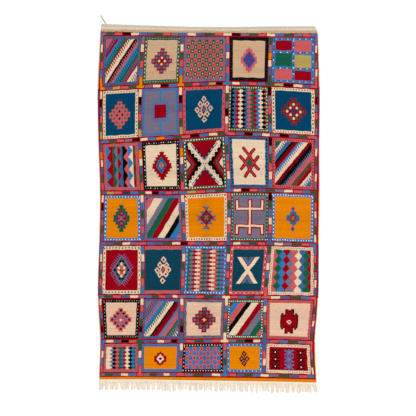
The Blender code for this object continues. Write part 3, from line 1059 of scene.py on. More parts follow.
def add_crosswise_strip(line):
    """One crosswise strip. A block turns the corner where it meets a block of its own dye."""
    kilim = sizes()
    rng = np.random.default_rng(kilim.seed + 100 + line)
    columns = np.linspace(*CROSSWISE_SPAN, CROSSWISE_POINTS)
    middles = middles_of(columns)
    reach = kilim.crosswise_half + kilim.strip_edge
    offsets = np.linspace(-reach, reach, STRIP_WIDTH_POINTS)
    x, y = cloth_points(even_places(columns, "across", line + 1), [line + 1])
    x = np.repeat(x, len(offsets), axis=0)
    slow, fast = CROSSWISE_WAVES
    wander = slow.height * np.sin(columns * slow.wave + line)
    y = y - offsets[:, None] + (wander + fast.height * np.sin(columns * fast.wave))
    blocks, gap = crosswise_blocks(line, middles)
    across = middles_of(offsets)[:, None]
    block = (np.abs(across) < kilim.crosswise_half) & ~gap[None, :]
    letters = np.where(block, blocks[None, :], "R")
    for column in range(1, COLUMNS):
        cell_width = cell_size(min(column, COLUMNS - 2), WIDTH_ROW)[0]
        share = kilim.lengthwise_half / cell_width
        near = (np.abs(middles - column) < share)[None, :]
        for row, first, side in ((line, False, across < 0), (line + 1, True, across > 0)):
            dye = end_dye(column, row, first)
            joined = side & near & (blocks == dye)[None, :]
            letters[joined] = blocks[np.nonzero(joined)[1]]
            block = block | joined
    lift = np.where(block, CROSSWISE_LIFTS.block, CROSSWISE_LIFTS.line)
    return add_strip(f"crosswise_strip_{line}", x, y, letters, lift, rng)


def add_lengthwise_strip(strip):
    """One lengthwise strip of blocks, from the first crosswise strip to the last."""
    kilim = sizes()
    rng = np.random.default_rng(kilim.seed + 200 + strip)
    rows = np.linspace(1, ROWS - 1, LENGTHWISE_POINTS)
    middles = middles_of(rows)
    inner = kilim.lengthwise_half, kilim.strip_edge
    outer = OUTER_HALF_SHARE * inner[0], OUTER_EDGE_SHARE * inner[1]
    left, left_edge = outer if strip == 0 else inner
    right, right_edge = outer if strip == len(LENGTHWISE_BLOCKS) - 1 else inner
    offsets = np.linspace(-left - left_edge, right + right_edge, STRIP_WIDTH_POINTS)
    x, y = cloth_points([strip + 1], even_places(rows, "upward", strip + 1))
    wander = LENGTHWISE_WAVE.height * np.sin(rows * LENGTHWISE_WAVE.wave + strip)
    x = x + offsets[None, :] + wander[:, None]
    y = np.repeat(y, len(offsets), axis=1)
    across = middles_of(offsets)[None, :]
    letters = np.full((len(middles), len(offsets) - 1), "R")
    lift = np.full(letters.shape, LENGTHWISE_LIFTS.line)
    words = LENGTHWISE_BLOCKS[strip].split()
    for row, word in enumerate(words, start=1):
        clear = BLOCKS_CLEAR if row < len(words) else LAST_BLOCKS_CLEAR
        for i, dye in enumerate(word):
            start = row + clear + (1 - 2 * clear) * i / len(word)
            end = row + clear + (1 - 2 * clear) * (i + 1) / len(word)
            if i == 0 and dye == crosswise_dye(row - 1, strip + 1):
                start = row
            if i == len(word) - 1 and dye == crosswise_dye(row, strip + 1):
                end = row + 1
            inside = (middles > start + HALF_LINE) & (middles < end - HALF_LINE)
            block = inside[:, None] & (across > -left) & (across < right)
            letters[block] = dye
            lift[block] = LENGTHWISE_LIFTS.block
    return add_strip(f"lengthwise_strip_{strip}", x, y, letters, lift, rng)


# Charts

# Heights over the ground's face, in millimetres
PLAIN_LIFT = 0.35
FLAT_LIFT = 0.7
BAND_LIFT = 0.85
BLOCK_LIFT = 0.9
COLUMN_LIFT = 0.95
DOTTED_LIFT = 1.0
RAISED_LIFT = 1.1
TOOTH_LIFT = 1.15
BAR_LIFT = 1.2
SPOT_LIFT = 1.3
FRAME_DOT_LIFT = 1.4
# Half the thickness in marks of long and of short dots in a frame, the share of the pitch
# from which a dot is long, and the pitch down the sides against the one along the ends
LONG_DOT_HALF = 0.6
SHORT_DOT_HALF = 0.4
LONG_DOT = 0.4
SIDE_PITCH_SHARE = 1.4
# How far the body of a dotted diamond reaches from its dots, in steps between them
DOT_MARGIN = 0.8
# Lean of the teeth of slanting bands, and slope of the steps of stepped columns
TOOTH_LEAN = 1.8
STEP_SLOPE = 1.9
# Half a check's dot as a share of the check, and marks that keep the last check whole
CHECK_DOT = 0.13
CHECK_SPARE = 0.01


class Chart:
    """A panel drawn in stitches. Places count in marks from its middle, right and down."""

    def __init__(self, width, height, rng):
        columns = round(width * MARK / sizes().stitch_width)
        rows = round(height * MARK / sizes().stitch_height)
        self.rng = rng
        self.width, self.height = width, height
        across = ((np.arange(columns) + 0.5) / columns - 0.5) * width
        down = ((np.arange(rows) + 0.5) / rows - 0.5) * height
        self.x, self.y = np.meshgrid(across, down)
        self.dyes = np.full(self.x.shape, "R")
        self.lift = np.full(self.x.shape, PLAIN_LIFT)
        self.inside = np.ones(self.x.shape, dtype=bool)

    def paint(self, where, dye, lift=BLOCK_LIFT):
        """Gives a place its dye and its height."""
        self.dyes[where] = dye
        self.lift[where] = lift

    def ground(self, dye):
        """One dye all over, with the height left as it is."""
        self.dyes[:] = dye

    def frame(self, dye, dots="", side=2.8, end=3.4, pitch=2.7, mottle="", share=0.4, dot=0.45):
        """The panel's border, with dots in turn along its middle or flecks all over."""
        from_side = self.width / 2 - np.abs(self.x)
        from_end = self.height / 2 - np.abs(self.y)
        rim = (from_side < side) | (from_end < end)
        self.inside = ~rim
        self.paint(rim, dye, RAISED_LIFT)
        if mottle:
            self.fleck(rim, mottle, share)
        thick = LONG_DOT_HALF if dot > LONG_DOT else SHORT_DOT_HALF
        ends = (np.abs(from_end - end / 2) < thick) & rim
        sides = (np.abs(from_side - side / 2) < thick) & (from_end > end / 2) & rim
        side_pitch = pitch * SIDE_PITCH_SHARE
        for line, along, gap in ((ends, self.x, pitch), (sides, self.y, side_pitch)):
            count = np.floor(along / gap)
            here = line & (along - count * gap < gap * dot)
            for k, letter in enumerate(dots):
                self.paint(here & (count % len(dots) == k), letter, FRAME_DOT_LIFT)

    def fleck(self, where, dyes, share):
        """Flecks of other yarns, scattered over a place."""
        chance = self.rng.random(self.dyes.shape) / share * len(dyes)
        for k, dye in enumerate(dyes):
            self.dyes[where & (chance >= k) & (chance < k + 1)] = dye

    def block(self, left, top, right, bottom, dye, lift=BLOCK_LIFT):
        """A level rectangle inside the frame."""
        where = (self.x >= left) & (self.x < right) & (self.y >= top) & (self.y < bottom)
        self.paint(where & self.inside, dye, lift)

    def spot(self, x, y, dye, across=0.9, down=0.9):
        """A small round, so many marks from its middle to its edge."""
        place = ((self.x - x) / across) ** 2 + ((self.y - y) / down) ** 2
        self.paint((place <= 1.0) & self.inside, dye, SPOT_LIFT)

    def diamond(self, x, y, across, down, dye, step=0.0, tooth=0.0):
        """A diamond. With a step its sides climb in stairs, every other one longer."""
        away = np.abs(self.y - y)
        stair = 0.0
        if step:
            count = np.floor(away / step)
            away = (count + 0.5) * step
            stair = tooth * (count % 2)
        where = np.abs(self.x - x) <= across * (1 - away / down) + stair
        self.paint(where & (away < down) & self.inside, dye, RAISED_LIFT)

    def nested_diamonds(self, x, y, *rings):
        """Diamonds one inside the other: how far across and down each reaches, and its dye."""
        for across, down, dye in rings:
            self.diamond(x, y, across, down, dye)

    def spots(self, places, x, y, dye, across, down):
        """Spots of one dye, placed around a middle."""
        for aside, below in places:
            self.spot(x + aside, y + below, dye, across, down)

    def small_diamonds(self, places, across, down, outline, middle):
        """Diamonds in an outline, each with a middle of half its size."""
        for x, y in places:
            self.diamond(x, y, across, down, outline)
        for x, y in places:
            self.diamond(x, y, across * 0.5, down * 0.5, middle)

    def dotted_diamond(self, x, y, across, down, body, rings, size=0.36):
        """A stepped diamond of dots: the letters of rings give each ring's dye."""
        reach = len(rings) - 1
        across_count = (self.x - x) / across
        down_count = (self.y - y) / down
        dots = [
            (i, j)
            for i in range(-reach, reach + 1)
            for j in range(-reach, reach + 1)
            if abs(i) + abs(j) <= reach
        ]
        for i, j in dots:
            near = np.maximum(np.abs(across_count - i), np.abs(down_count - j)) < DOT_MARGIN
            self.paint(near & self.inside, body, DOTTED_LIFT)
        for i, j in dots:
            away = (across_count - i) ** 2 + (down_count - j) ** 2
            self.paint(away < size**2, rings[abs(i) + abs(j)], SPOT_LIFT)

    def stroke(self, points, width, dye, lift=RAISED_LIFT):
        """A line through points, so many marks wide."""
        for start, end in zip(points, points[1:]):
            start, end = np.array(start, dtype=float), np.array(end, dtype=float)
            way = end - start
            part = (self.x - start[0]) * way[0] + (self.y - start[1]) * way[1]
            part = np.clip(part / (way @ way), 0, 1)
            off_x = self.x - start[0] - part * way[0]
            off_y = self.y - start[1] - part * way[1]
            near = off_x**2 + off_y**2 <= (width / 2) ** 2
            self.paint(near & self.inside, dye, lift)

    def wedge(self, x, tip, end, run, dye):
        """A triangle that widens from its tip to its end."""
        past = (self.y - tip) * np.sign(end - tip)
        where = (past >= 0) & (past <= abs(end - tip)) & (np.abs(self.x - x) <= past * run)
        self.paint(where & self.inside, dye, RAISED_LIFT)

    def slanted_bar(self, x, y, run, half, reach, dye):
        """A bar that leans by its run, with level ends."""
        away = np.abs(self.x - x - (self.y - y) * run)
        where = (away < half) & (np.abs(self.y - y) < reach)
        self.paint(where & self.inside, dye, BAR_LIFT)

    def bands(self, note, lean, tooth=4.6):
        """Slanting bands from the top left. B5 is blue, 5 marks wide; B/G3 has teeth."""
        left, top = self.x[self.inside].min(), self.y[self.inside].min()
        along = self.x - left + (self.y - top) * lean
        toothed = (self.x * TOOTH_LEAN - self.y) % tooth < tooth / 2
        edge = 0.0
        for word in note.split():
            dyes = word.rstrip("0123456789.")
            where = self.inside & (along >= edge)
            self.paint(where, dyes[0], BAND_LIFT)
            if len(dyes) > 1:
                self.paint(where & toothed, dyes[-1], TOOTH_LIFT)
            edge += float(word[len(dyes):])

    def columns(self, note, pitch, shape, phase=0.0):
        """Upright bands with swinging edges: B4~2 is blue, 4 wide, its right edge swings 2."""
        left = self.x[self.inside].min()
        count = (self.y / pitch + phase) % 1
        wave = 4 * np.abs(count - 0.5) - 1
        if shape == "comb":
            wave = np.sign(wave)
        elif shape == "stepped":
            wave = np.clip(STEP_SLOPE * wave, -1, 1)
        edge, swing = left, 0.0
        for word in note.split():
            where = self.inside & (self.x >= edge + swing * wave)
            self.paint(where, word[0], COLUMN_LIFT)
            width, _, turn = word[1:].partition("~")
            edge += float(width)
            swing = float(turn or 0)

    def even_columns(self, note, swing, pitch, shape, phase=0.0):
        """Upright bands whose edges swing out and in by turns."""
        words = [word + f"~{swing if k % 2 else -swing}" for k, word in enumerate(note.split())]
        self.columns(" ".join(words), pitch, shape, phase)

    def checks(self, columns, rows, dyes, dots):
        """Checks in two dyes, each with a small dot in the middle."""
        left, top = self.x[self.inside].min(), self.y[self.inside].min()
        across = (self.x - left) / (self.x[self.inside].max() - left + CHECK_SPARE) * columns
        down = (self.y - top) / (self.y[self.inside].max() - top + CHECK_SPARE) * rows
        odd = (np.floor(across) + np.floor(down)) % 2 == 1
        middle = np.maximum(np.abs(across % 1 - 0.5), np.abs(down % 1 - 0.5)) < CHECK_DOT
        for k, (dye, dot) in enumerate(zip(dyes, dots)):
            where = self.inside & (odd == bool(k))
            self.paint(where, dye, BLOCK_LIFT)
            self.paint(where & middle, dot, BAR_LIFT)

    def motif(self, rows, x, y, across, down):
        """A motif charted with a letter for each of its small blocks."""
        left = x - across * len(rows[0]) / 2
        top = y - down * len(rows) / 2
        for j, row in enumerate(rows):
            for i, dye in enumerate(row):
                if dye != ".":
                    x, y = left + i * across, top + j * down
                    self.block(x, y, x + across, y + down, dye, RAISED_LIFT)


def panel_1_1(chart):
    chart.frame("S", side=2.3, end=3.0, mottle="GLRN", share=0.45)
    chart.bands(
        "P6 S/R3.4 R2.6 B1.9 B/G3.9 G1.8 R1.2 R/C3.3 C3.2 K2.3 K/P2.9 P1.6 B1.9 B/G4.2 G2.4"
        " S/R3.8 R1.8 C2.6 C/L4 L/P3 P20",
        lean=0.62,
    )


def panel_1_2(chart):
    chart.ground("W")
    chart.frame("G", "C", side=2.8, end=3.6, pitch=2.7, dot=0.4)
    chart.dotted_diamond(0.2, 1.2, 2.75, 3.35, "R", "RCGB")


def panel_1_3(chart):
    chart.frame("L", side=2.6, end=3.2, mottle="PBRS", share=0.5)
    chart.checks(10, 8.5, "PG", "KC")


def panel_1_4(chart):
    chart.ground("W")
    chart.frame("K", "NRNS", side=3.3, end=3.6, pitch=2.2, dot=0.35)
    chart.diamond(0.2, 1, 8.8, 13.2, "P", step=1.8, tooth=1.0)
    chart.diamond(0.2, 0.8, 6.5, 9, "U")
    chart.spot(0.4, -4.3, "R", 1.1, 1.0)
    chart.spot(0, 5.2, "R", 1.1, 1.0)
    places = ((-2.1, -1.2), (-2.1, 2.4), (2.1, -1.2), (2.1, 2.4))
    chart.spots(places, 0.2, 0, "R", 1.4, 0.9)
    chart.spot(0.2, 0.6, "G", 1.0, 1.5)


def panel_1_5(chart):
    chart.ground("B")
    chart.frame("B", "CRK", side=3.0, end=3.2, pitch=2.0, dot=0.38)
    for left, right, drop, dyes in ((-18, -1.2, 0, "RGP"), (1.6, 18, 0.9, "PYR")):
        tops = (-21, -6.6 + drop, 9.4 + drop)
        bottoms = (-9.6 + drop, 6.2 + drop, 21)
        for dye, top, bottom in zip(dyes, tops, bottoms):
            chart.block(left, top, right, bottom, dye, FLAT_LIFT)
    bars = (np.abs(np.abs(chart.y - 0.2) - 8.1) < 0.5) & chart.inside
    post = (np.abs(chart.x - 0.2) < 0.6) & chart.inside
    for k, dye in enumerate("CRK"):
        chart.paint(bars & (chart.x % 6.6 // 1.1 == 2 * k), dye, BAR_LIFT)
        chart.paint(post & (chart.y % 6.6 // 1.1 == 2 * k), dye, BAR_LIFT)


def panel_2_1(chart):
    chart.ground("N")
    chart.frame("C", "KRG", side=2.8, end=3.2, pitch=2.7)
    chart.dotted_diamond(-0.8, 0.8, 2.75, 3.6, "P", "PKLG")


def panel_2_2(chart):
    chart.ground("L")
    chart.frame("B", "R", side=2.6, end=3.0, pitch=1.8)
    chart.fleck(chart.inside, "PS", 0.05)
    chart.block(-0.8, -30, 0.8, 30, "B")
    chart.block(-7.8, -10.6, 8.0, 9.6, "B")
    chart.fleck((np.abs(chart.x) < 7.8) & (np.abs(chart.y) < 10), "LR", 0.3)
    chart.block(-5.9, -7.4, 5.9, 6.2, "R")


def panel_2_3(chart):
    chart.ground("N")
    chart.frame("P", "KL", side=2.8, end=3.0, pitch=1.9)
    places = ((0, -10.4), (-3.6, -5.5), (3.5, -5.5), (-6.6, 0.2), (6.6, -0.8))
    places += ((-3.6, 4.9), (3.7, 4.7), (0.4, 10.2))
    chart.small_diamonds(places, 2.6, 3.3, "C", "R")
    chart.nested_diamonds(0, 0, (3.4, 7.6, "C"), (2.5, 5.4, "R"), (1.1, 2.7, "B"))


def panel_2_4(chart):
    chart.frame("G", "C", side=1.8, end=3.0, pitch=2.4)
    note = "K2.4 S2.7 R2.9 C2.9 K3 S2.9 P2.9 G2.9 R2.9 B2.9 C2.9 K2.9 P2.9"
    chart.even_columns(note, 1.05, 4.4, "stepped")


def panel_2_5(chart):
    chart.ground("N")
    chart.frame("C", "KRK", side=3.2, end=3.2, pitch=2.7)
    chart.dotted_diamond(0.4, 0.6, 3.2, 3.5, "R", "NNCG", 0.38)


def panel_3_1(chart):
    chart.frame("P", "GS", side=2.6, end=3.0, pitch=1.5)
    chart.columns(
        "B2.4~2.3 R4.1 G2.5~-1.2 L2.2 R2~2 S3.1 K3~2 P2.2 B2.8~2.2 C2.3 R1.7~-1.4 G9",
        12.4, "zigzag", 0.27,
    )


def panel_3_2(chart):
    chart.ground("C")
    chart.frame("K", "CXS", side=3.4, end=3.8, pitch=2.4, dot=0.35)
    chart.diamond(0.7, 0.4, 10, 15.2, "R", step=1.4, tooth=1.1)
    chart.diamond(0, -0.3, 5.3, 9, "B")
    chart.fleck((chart.dyes == "B") & chart.inside, "GN", 0.5)
    for x, y, dye in ((-1.4, 0, "O"), (1.4, 0, "O"), (0, -2.3, "P"), (0, 2.4, "P")):
        chart.spot(x, y, dye, 1.1, 1.1)


def panel_3_3(chart):
    chart.frame("G", "X", side=2.6, end=3.2, pitch=2.7)
    for side in (-1, 1):
        chart.stroke([(side * 17.5, -19), (side * 5.5, 0.6), (side * 17.5, 20)], 4.6, "K")
        for k in range(6):
            y = -15.5 + 6.2 * k
            x = side * (6.5 + abs(y - 0.4) * 0.56)
            chart.block(x - 1.6, y - 1.8, x + 1.6, y + 1.8, "K")
    for end in (-1, 1):
        tip = 0.6 + 3.4 * end
        for side in (-1, 1):
            chart.stroke([(0, tip - 3 * end), (side * 14.5, 0.6 + 20 * end)], 4.6, "C")
            for k in range(4):
                y = 0.6 + end * (4.5 + 4.2 * k)
                x = side * (5.3 + 3.1 * k)
                chart.block(x - 1.5, y - 1.6, x + 1.5, y + 1.6, "C")
                chart.spot(x, y, "R", 0.6, 0.7)
            chart.stroke([(0, tip), (side * 13.2, 0.6 + 20 * end)], 0.9, "B")
    chart.spots(((-1.2, 0.2), (1.2, 0.2), (0, 2.4)), 0, 0, "R", 0.6, 0.7)
    for end in (-1, 1):
        for x, y in ((-8.5, 16), (-5.5, 12), (-2.5, 8.2), (8.5, 16), (5.5, 12), (2.5, 8.2)):
            chart.small_diamonds([(x, 0.6 + end * y)], 1.5, 1.7, "K", "N")
    for side in (-1, 1):
        chart.stroke([(side * 18, -9.5), (side * 11.5, 0.4), (side * 18, 10.5)], 1.0, "G")
        chart.diamond(side * 18.5, 0.4, 4.2, 5.6, "C")


def panel_3_4(chart):
    chart.ground("C")
    chart.frame("S", "K", side=3.4, end=3.0, pitch=2.4, mottle="BN", share=0.4)
    lines = (
        [(-5.0, -13.6), (0.4, -6.6), (5.2, -12.8)],
        [(-8.4, -5.2), (-3.2, 1.2), (-8.0, 6.8)],
        [(9.2, -5.6), (4.3, 1.2), (9.2, 6.8)],
        [(-4.4, 14.4), (0.6, 7.4), (5.6, 14.0)],
        [(0.6, -6.6), (4.4, 0.8), (0.6, 7.8), (-3.4, 0.8), (0.6, -6.6)],
    )
    for line in lines:
        chart.stroke(line, 3.3, "R")
    for line in lines:
        chart.stroke(line, 0.45, "P", SPOT_LIFT)
    chart.diamond(0.5, 0.8, 3.2, 4.4, "G")


def panel_3_5(chart):
    chart.frame("P", "K", side=2.6, end=3.0, pitch=2.2)
    chart.bands(
        "G6.5 C1.8 C/S3 S4.5 K2.5 K/R3 R2 B2.2 B/C3 C4 R1.2 R/K3 K4 K/S2.2 S/P3 P3.6"
        " G1.6 G/R3.4 R4 C2.2 C/S3.6 S20",
        lean=0.78,
    )


def panel_4_1(chart):
    chart.ground("O")
    chart.frame("B", "X", side=2.6, end=3.2, pitch=2.9, dot=0.38)
    chart.diamond(-0.8, 0.2, 8.4, 14.4, "G", step=1.7, tooth=1.3)
    chart.diamond(-0.8, 0.2, 5.6, 9.6, "R")
    places = ((0, -5), (0, 5), (-2.3, -2), (2.3, -2), (-2.3, 2), (2.3, 2))
    chart.spots(places, -0.8, 0.2, "B", 1.3, 0.9)
    chart.spot(-0.8, 0.2, "P", 1.3, 1.8)


def panel_4_2(chart):
    chart.frame("S", "P", side=2.2, end=3.0, pitch=1.8, mottle="NB", share=0.3)
    chart.bands("K1.5 P6.1 C8.4 L5.5 G6.5 R6.5 C6.6 K5.4 B6.8 P10", lean=0.62)


def panel_4_3(chart):
    chart.ground("O")
    chart.frame("C", "KR", side=2.8, end=3.4, pitch=2.6)
    chart.nested_diamonds(0.1, 0.2, (6.4, 8.2, "R"), (3.9, 4.8, "G"))
    chart.stroke([(-1.2, -1.6), (1.4, 2)], 1.0, "P")
    chart.stroke([(1.4, -1.6), (-1.2, 2)], 1.0, "P")
    triangles = ((0, -6.6, -11.2), (0, 7.4, 12))
    for side in (-1, 1):
        triangles += ((3.5 * side, -2.6, -6.4), (6.9 * side, 1.4, -2.2))
        triangles += ((3.5 * side, 3, 7), (6.9 * side, -0.2, 3.6))
    for x, tip, end in triangles:
        chart.wedge(x + 0.1, tip, end, 0.8, "R")
    for x, tip, end in triangles:
        chart.wedge(x + 0.1, tip + 0.25 * (end - tip), end, 0.78, "B")


def panel_4_4(chart):
    chart.ground("L")
    chart.frame("G", "X", side=2.2, end=3.0, pitch=2.6, dot=0.35)
    chart.fleck(chart.inside, "PS", 0.1)
    bars = (
        (-0.9, -16.6, 1.2, 17.2),
        (-13.6, -9.1, 13.6, -7),
        (-13.6, -16.4, -11.5, -7),
        (11.5, -16.4, 13.6, -7),
        (-13.6, 8.1, 13.6, 10.2),
        (-13.6, 8.1, -11.5, 17.2),
        (11.5, 8.1, 13.6, 17.2),
    )
    for edge, dye in ((1.1, "R"), (0, "C")):
        for left, top, right, bottom in bars:
            chart.block(left - edge, top - edge, right + edge, bottom + edge, dye, BAR_LIFT)


def panel_4_5(chart):
    chart.ground("O")
    chart.frame("B", "X", side=2.8, end=3.0, pitch=2.6, dot=0.38)
    chart.diamond(0.2, 0.3, 7.4, 8.0, "S", step=1.6, tooth=1.0)
    chart.small_diamonds([(0.2, -9.0), (0, 11.2)], 2.3, 2.9, "S", "R")
    chart.nested_diamonds(0.2, 0.3, (3.3, 4.8, "R"), (1.7, 2.6, "O"), (1.0, 1.5, "G"))


def panel_5_1(chart):
    chart.ground("R")
    chart.frame("C", "KG", side=2.6, end=3.4, pitch=3.2, dot=0.42)
    for end in (-1, 1):
        for side in (-1, 1):
            for k in range(8):
                x = side * 9 * (7.6 - k) / 8
                y = end * 14.6 * (k + 0.4) / 8
                chart.stroke([(x, y), (x + side * 2.7, y + end * 2.5)], 0.5, "B")
    chart.nested_diamonds(-0.1, 0, (9.4, 15, "B"), (8.4, 13.4, "R"), (7.9, 12.4, "G"))
    for x, y in ((-1.5, -8.8), (1.5, -8.8), (-4.2, -4.5), (4.1, -4.5), (-6.5, 0)):
        chart.spot(x - 0.1, y, "K", 1.1, 1.2)
        chart.spot(-x - 0.1, -y, "K", 1.1, 1.2)
    chart.diamond(-0.1, 0, 4.9, 8.2, "P")
    for x, y in ((0, -5.9), (-2.7, -2.1), (2.7, -2.1)):
        chart.spot(x - 0.1, y, "C", 1.2, 1.5)
        chart.spot(-x - 0.1, -y, "C", 1.2, 1.5)
    chart.spot(-1.3, 0, "R", 0.9, 1.0)
    chart.spot(1.1, 0, "R", 0.9, 1.0)
    chart.spot(-0.1, 1.6, "G", 0.8, 1.0)


def panel_5_2(chart):
    chart.ground("D")
    chart.frame("P", "GL", side=0.0, end=3.4, pitch=1.6)
    places = ((0.4, -10.4), (-3.0, -5), (3.4, -5), (-5.8, 0.4), (5.6, -0.2))
    places += ((-2.9, 4.6), (3.1, 4.4), (-0.2, 10.8))
    chart.small_diamonds(places, 2.8, 3.3, "C", "R")
    chart.nested_diamonds(0.1, 0, (3.4, 6.2, "C"), (2.5, 4.4, "R"), (1.2, 2.2, "L"))


def panel_5_3(chart):
    chart.frame("B", "X", side=2.2, end=3.0, pitch=2.9, dot=0.38)
    note = "G2.2 L2.6 R3.2 C3 P3 G3.2 L3 R2.8 C3 P3 G2.8 B2.8 R3"
    chart.even_columns(note, 1.15, 4.1, "comb")


def panel_5_4(chart):
    chart.ground("D")
    chart.frame("P", "KX", side=2.8, end=3.4, pitch=2.2, dot=0.35)
    for end in (-1, 1):
        chart.wedge(0, end * 2.4, end * 13.2, 0.84, "R")
        chart.wedge(0, end * 5.0, end * 13.2, 0.62, "B")
        chart.wedge(0, end * 8.4, end * 13.2, 0.6, "G")
        chart.spot(0, end * 12.2, "R", 1.0, 1.0)
    for side in (-1, 1):
        chart.slanted_bar(0, 0, side * 0.68, 2.15, 13.2, "C")


def panel_5_5(chart):
    chart.frame("C", "RGRS", side=2.6, end=3.2, pitch=1.7)
    note = "P2.8 G4.1 B4.1 R4.1 L4.1 P4.1 C4.1 S4.1 G4.1 R4.1"
    chart.even_columns(note, 1.8, 8.6, "zigzag", 0.25)


def panel_6_1(chart):
    chart.ground("T")
    chart.frame("K", "C", side=3.2, end=3.4, pitch=2.4, dot=0.35)
    chart.dotted_diamond(-0.5, 0.9, 2.8, 3.1, "P", "CPBK", 0.4)
    chart.spot(-0.5, 0.9, "C", 1.6, 0.8)


def panel_6_2(chart):
    chart.frame("S", side=1.6, end=2.6, mottle="NBR", share=0.5)
    chart.bands(
        "L5 L/R4.4 S2.5 S/P2.6 P/B2.6 B2.5 B/G2 G/C3 C4 K1.8 K/R3.2 R3 B1.6 B/P3 P3"
        " G2 G/L3.5 L2 K/C8 R20",
        lean=0.69,
    )


def panel_6_3(chart):
    chart.ground("T")
    chart.frame("L", side=2.6, end=3.0, mottle="SPGN", share=0.5)
    chart.dotted_diamond(0.4, 0.8, 3.1, 3.3, "R", "CRGB", 0.36)
    chart.stroke([(-1.6, 0.8), (2.4, 0.8)], 0.9, "C")
    chart.stroke([(0.4, -0.8), (0.4, 2.4)], 0.9, "C")


def panel_6_4(chart):
    chart.frame("G", "X", side=1.8, end=2.8, pitch=1.9)
    chart.bands("R3.4 B5.8 P6.7 K5.3 C7.4 R6 L7.3 G6.8 P20", lean=0.69)


HORNED_MOTIF = (
    "....KKK..KKK....",
    "....KRRKKRRK....",
    "....KRRRRRRK....",
    ".KK.KRRRRRRK.KK.",
    "KRRKKRRRRRRKKRRK",
    "KRRRKRRRRRRKRRRK",
    "KRRRRRRRRRRRRRRK",
    "KRRRRRRRRRRRRRRK",
    "KRRRRRRCCRRRRRRK",
    "KRRRRRCLLCRRRRRK",
    "KRRRRRRCCRRRRRRK",
    "KRRRRRRRRRRRRRRK",
    "KRRRKRRRRRRKRRRK",
    "KRRKKRRRRRRKKRRK",
    ".KK.KRRRRRRK.KK.",
    "....KRRRRRRK....",
    "....KRRKKRRK....",
    "....KKK..KKK....",
)


def panel_6_5(chart):
    chart.ground("T")
    chart.frame("P", "G", side=2.6, end=3.2, pitch=2.2)
    chart.motif(HORNED_MOTIF, -0.1, 1.7, 1.1, 1.38)


def panel_7_1(chart):
    chart.frame("P", "GS", side=2.4, end=2.8, pitch=1.5)
    note = "C4.6 L2.3 K2.6 P2.6 G2.6 S2.4 R2.4 C3.2 K2.8 B2.8 G2.4 R3"
    chart.even_columns(note, 0.95, 3.9, "stepped")


def panel_7_2(chart):
    chart.ground("O")
    chart.frame("B", "RS", side=2.4, end=2.8, pitch=1.6)
    chart.diamond(0, 0.8, 6.8, 8, "R", step=1.5, tooth=0.9)
    chart.diamond(0, 0.8, 3.7, 4.9, "C")
    chart.spot(0, 0.9, "K", 1.5, 1.3)


def panel_7_3(chart):
    chart.frame("K", "X", side=2.2, end=3.2, pitch=2.8, dot=0.35)
    chart.checks(10, 5, "PB", "KR")


def panel_7_4(chart):
    chart.ground("O")
    chart.frame("B", "XS", side=2.6, end=2.8, pitch=1.9, dot=0.38)
    places = ((-0.3, -4.2), (-3, 0.8), (2.4, 0.8), (-0.3, 5.4))
    chart.small_diamonds(places, 2.8, 3.4, "K", "P")
    chart.spot(-0.2, 0.8, "K", 1.2, 1.2)
    chart.spot(-0.2, 0.8, "G", 0.5, 0.6)


def panel_7_5(chart):
    chart.ground("R")
    chart.frame("C", "KP", side=2.6, end=3.2, pitch=1.8)
    for middle, dye, dot in ((-13.0, "K", "C"), (0.8, "B", "P"), (12.6, "K", "C")):
        for y in (-6.3, 0.7, 7.9):
            for side in (-1, 1):
                chart.stroke([(middle, y), (middle + side * 4.2, y - 2.3)], 1.35, dye)
                chart.stroke([(middle, y), (middle + side * 4.0, y + 2.1)], 1.35, dye)
            chart.stroke([(middle, y - 2.3), (middle, y + 2.3)], 1.5, dye)
            chart.spot(middle, y, dot, 0.7, 0.8)
        for y in (-2.7, 4.4):
            chart.diamond(middle, y, 2.4, 2.4, dye)
            chart.diamond(middle, y, 1.2, 1.2, "R")


PANELS = (
    (panel_1_1, panel_1_2, panel_1_3, panel_1_4, panel_1_5),
    (panel_2_1, panel_2_2, panel_2_3, panel_2_4, panel_2_5),
    (panel_3_1, panel_3_2, panel_3_3, panel_3_4, panel_3_5),
    (panel_4_1, panel_4_2, panel_4_3, panel_4_4, panel_4_5),
    (panel_5_1, panel_5_2, panel_5_3, panel_5_4, panel_5_5),
    (panel_6_1, panel_6_2, panel_6_3, panel_6_4, panel_6_5),
    (panel_7_1, panel_7_2, panel_7_3, panel_7_4, panel_7_5),
)


# Sway of the stitches in a panel, with radians for each metre: upward and crosswise in its
# sideways part, crosswise and upward in the other
PANEL_SWAY = 1.5 * MM
SIDEWAYS_WAVES = (90, 30)
UPWARD_WAVES = (75, 40)


def add_panel(row, column):
    """Weaves one panel as a raised sheet whose rim sinks into the ground cloth."""
    kilim = sizes()
    rng = np.random.default_rng(kilim.seed + 10 * row + column)
    cell_width, cell_height = cell_size(column, row)
    width = (cell_width - 2 * kilim.side_margin) / MARK
    height = (cell_height - 2 * kilim.end_margin) / MARK
    chart = Chart(width, height, rng)
    PANELS[row - 1][column - 1](chart)
    rows, columns = chart.dyes.shape
    margin_x = kilim.side_margin / cell_width
    margin_y = kilim.end_margin / cell_height
    across = np.linspace(column + margin_x, column + 1 - margin_x, columns + 1)
    upward = np.linspace(row + margin_y, row + 1 - margin_y, rows + 1)
    x, y = cloth_points(
        even_places(across, "across", row + 0.5), even_places(upward, "upward", column + 0.5)
    )
    z = face_height(x, y) + vertex_lift(chart.lift)
    # Painted shade: panel colours darkened along the folds
    shade = painted_crease_shade(cell_middles(x), cell_middles(y))[..., None]
    colours = yarn_colours(chart.dyes, rng) * shade
    fast, slow = SIDEWAYS_WAVES
    sway_x = PANEL_SWAY * np.sin(y * fast + column) * np.sin(x * slow + row)
    fast, slow = UPWARD_WAVES
    sway_y = PANEL_SWAY * np.sin(x * fast + row) * np.sin(y * slow)
    name = f"panel_row{row}_column{column}"
    material = yarn_material("brocaded_wool")
    return add_sheet(name, x + sway_x, y + sway_y, z, colours, material)


# Stage

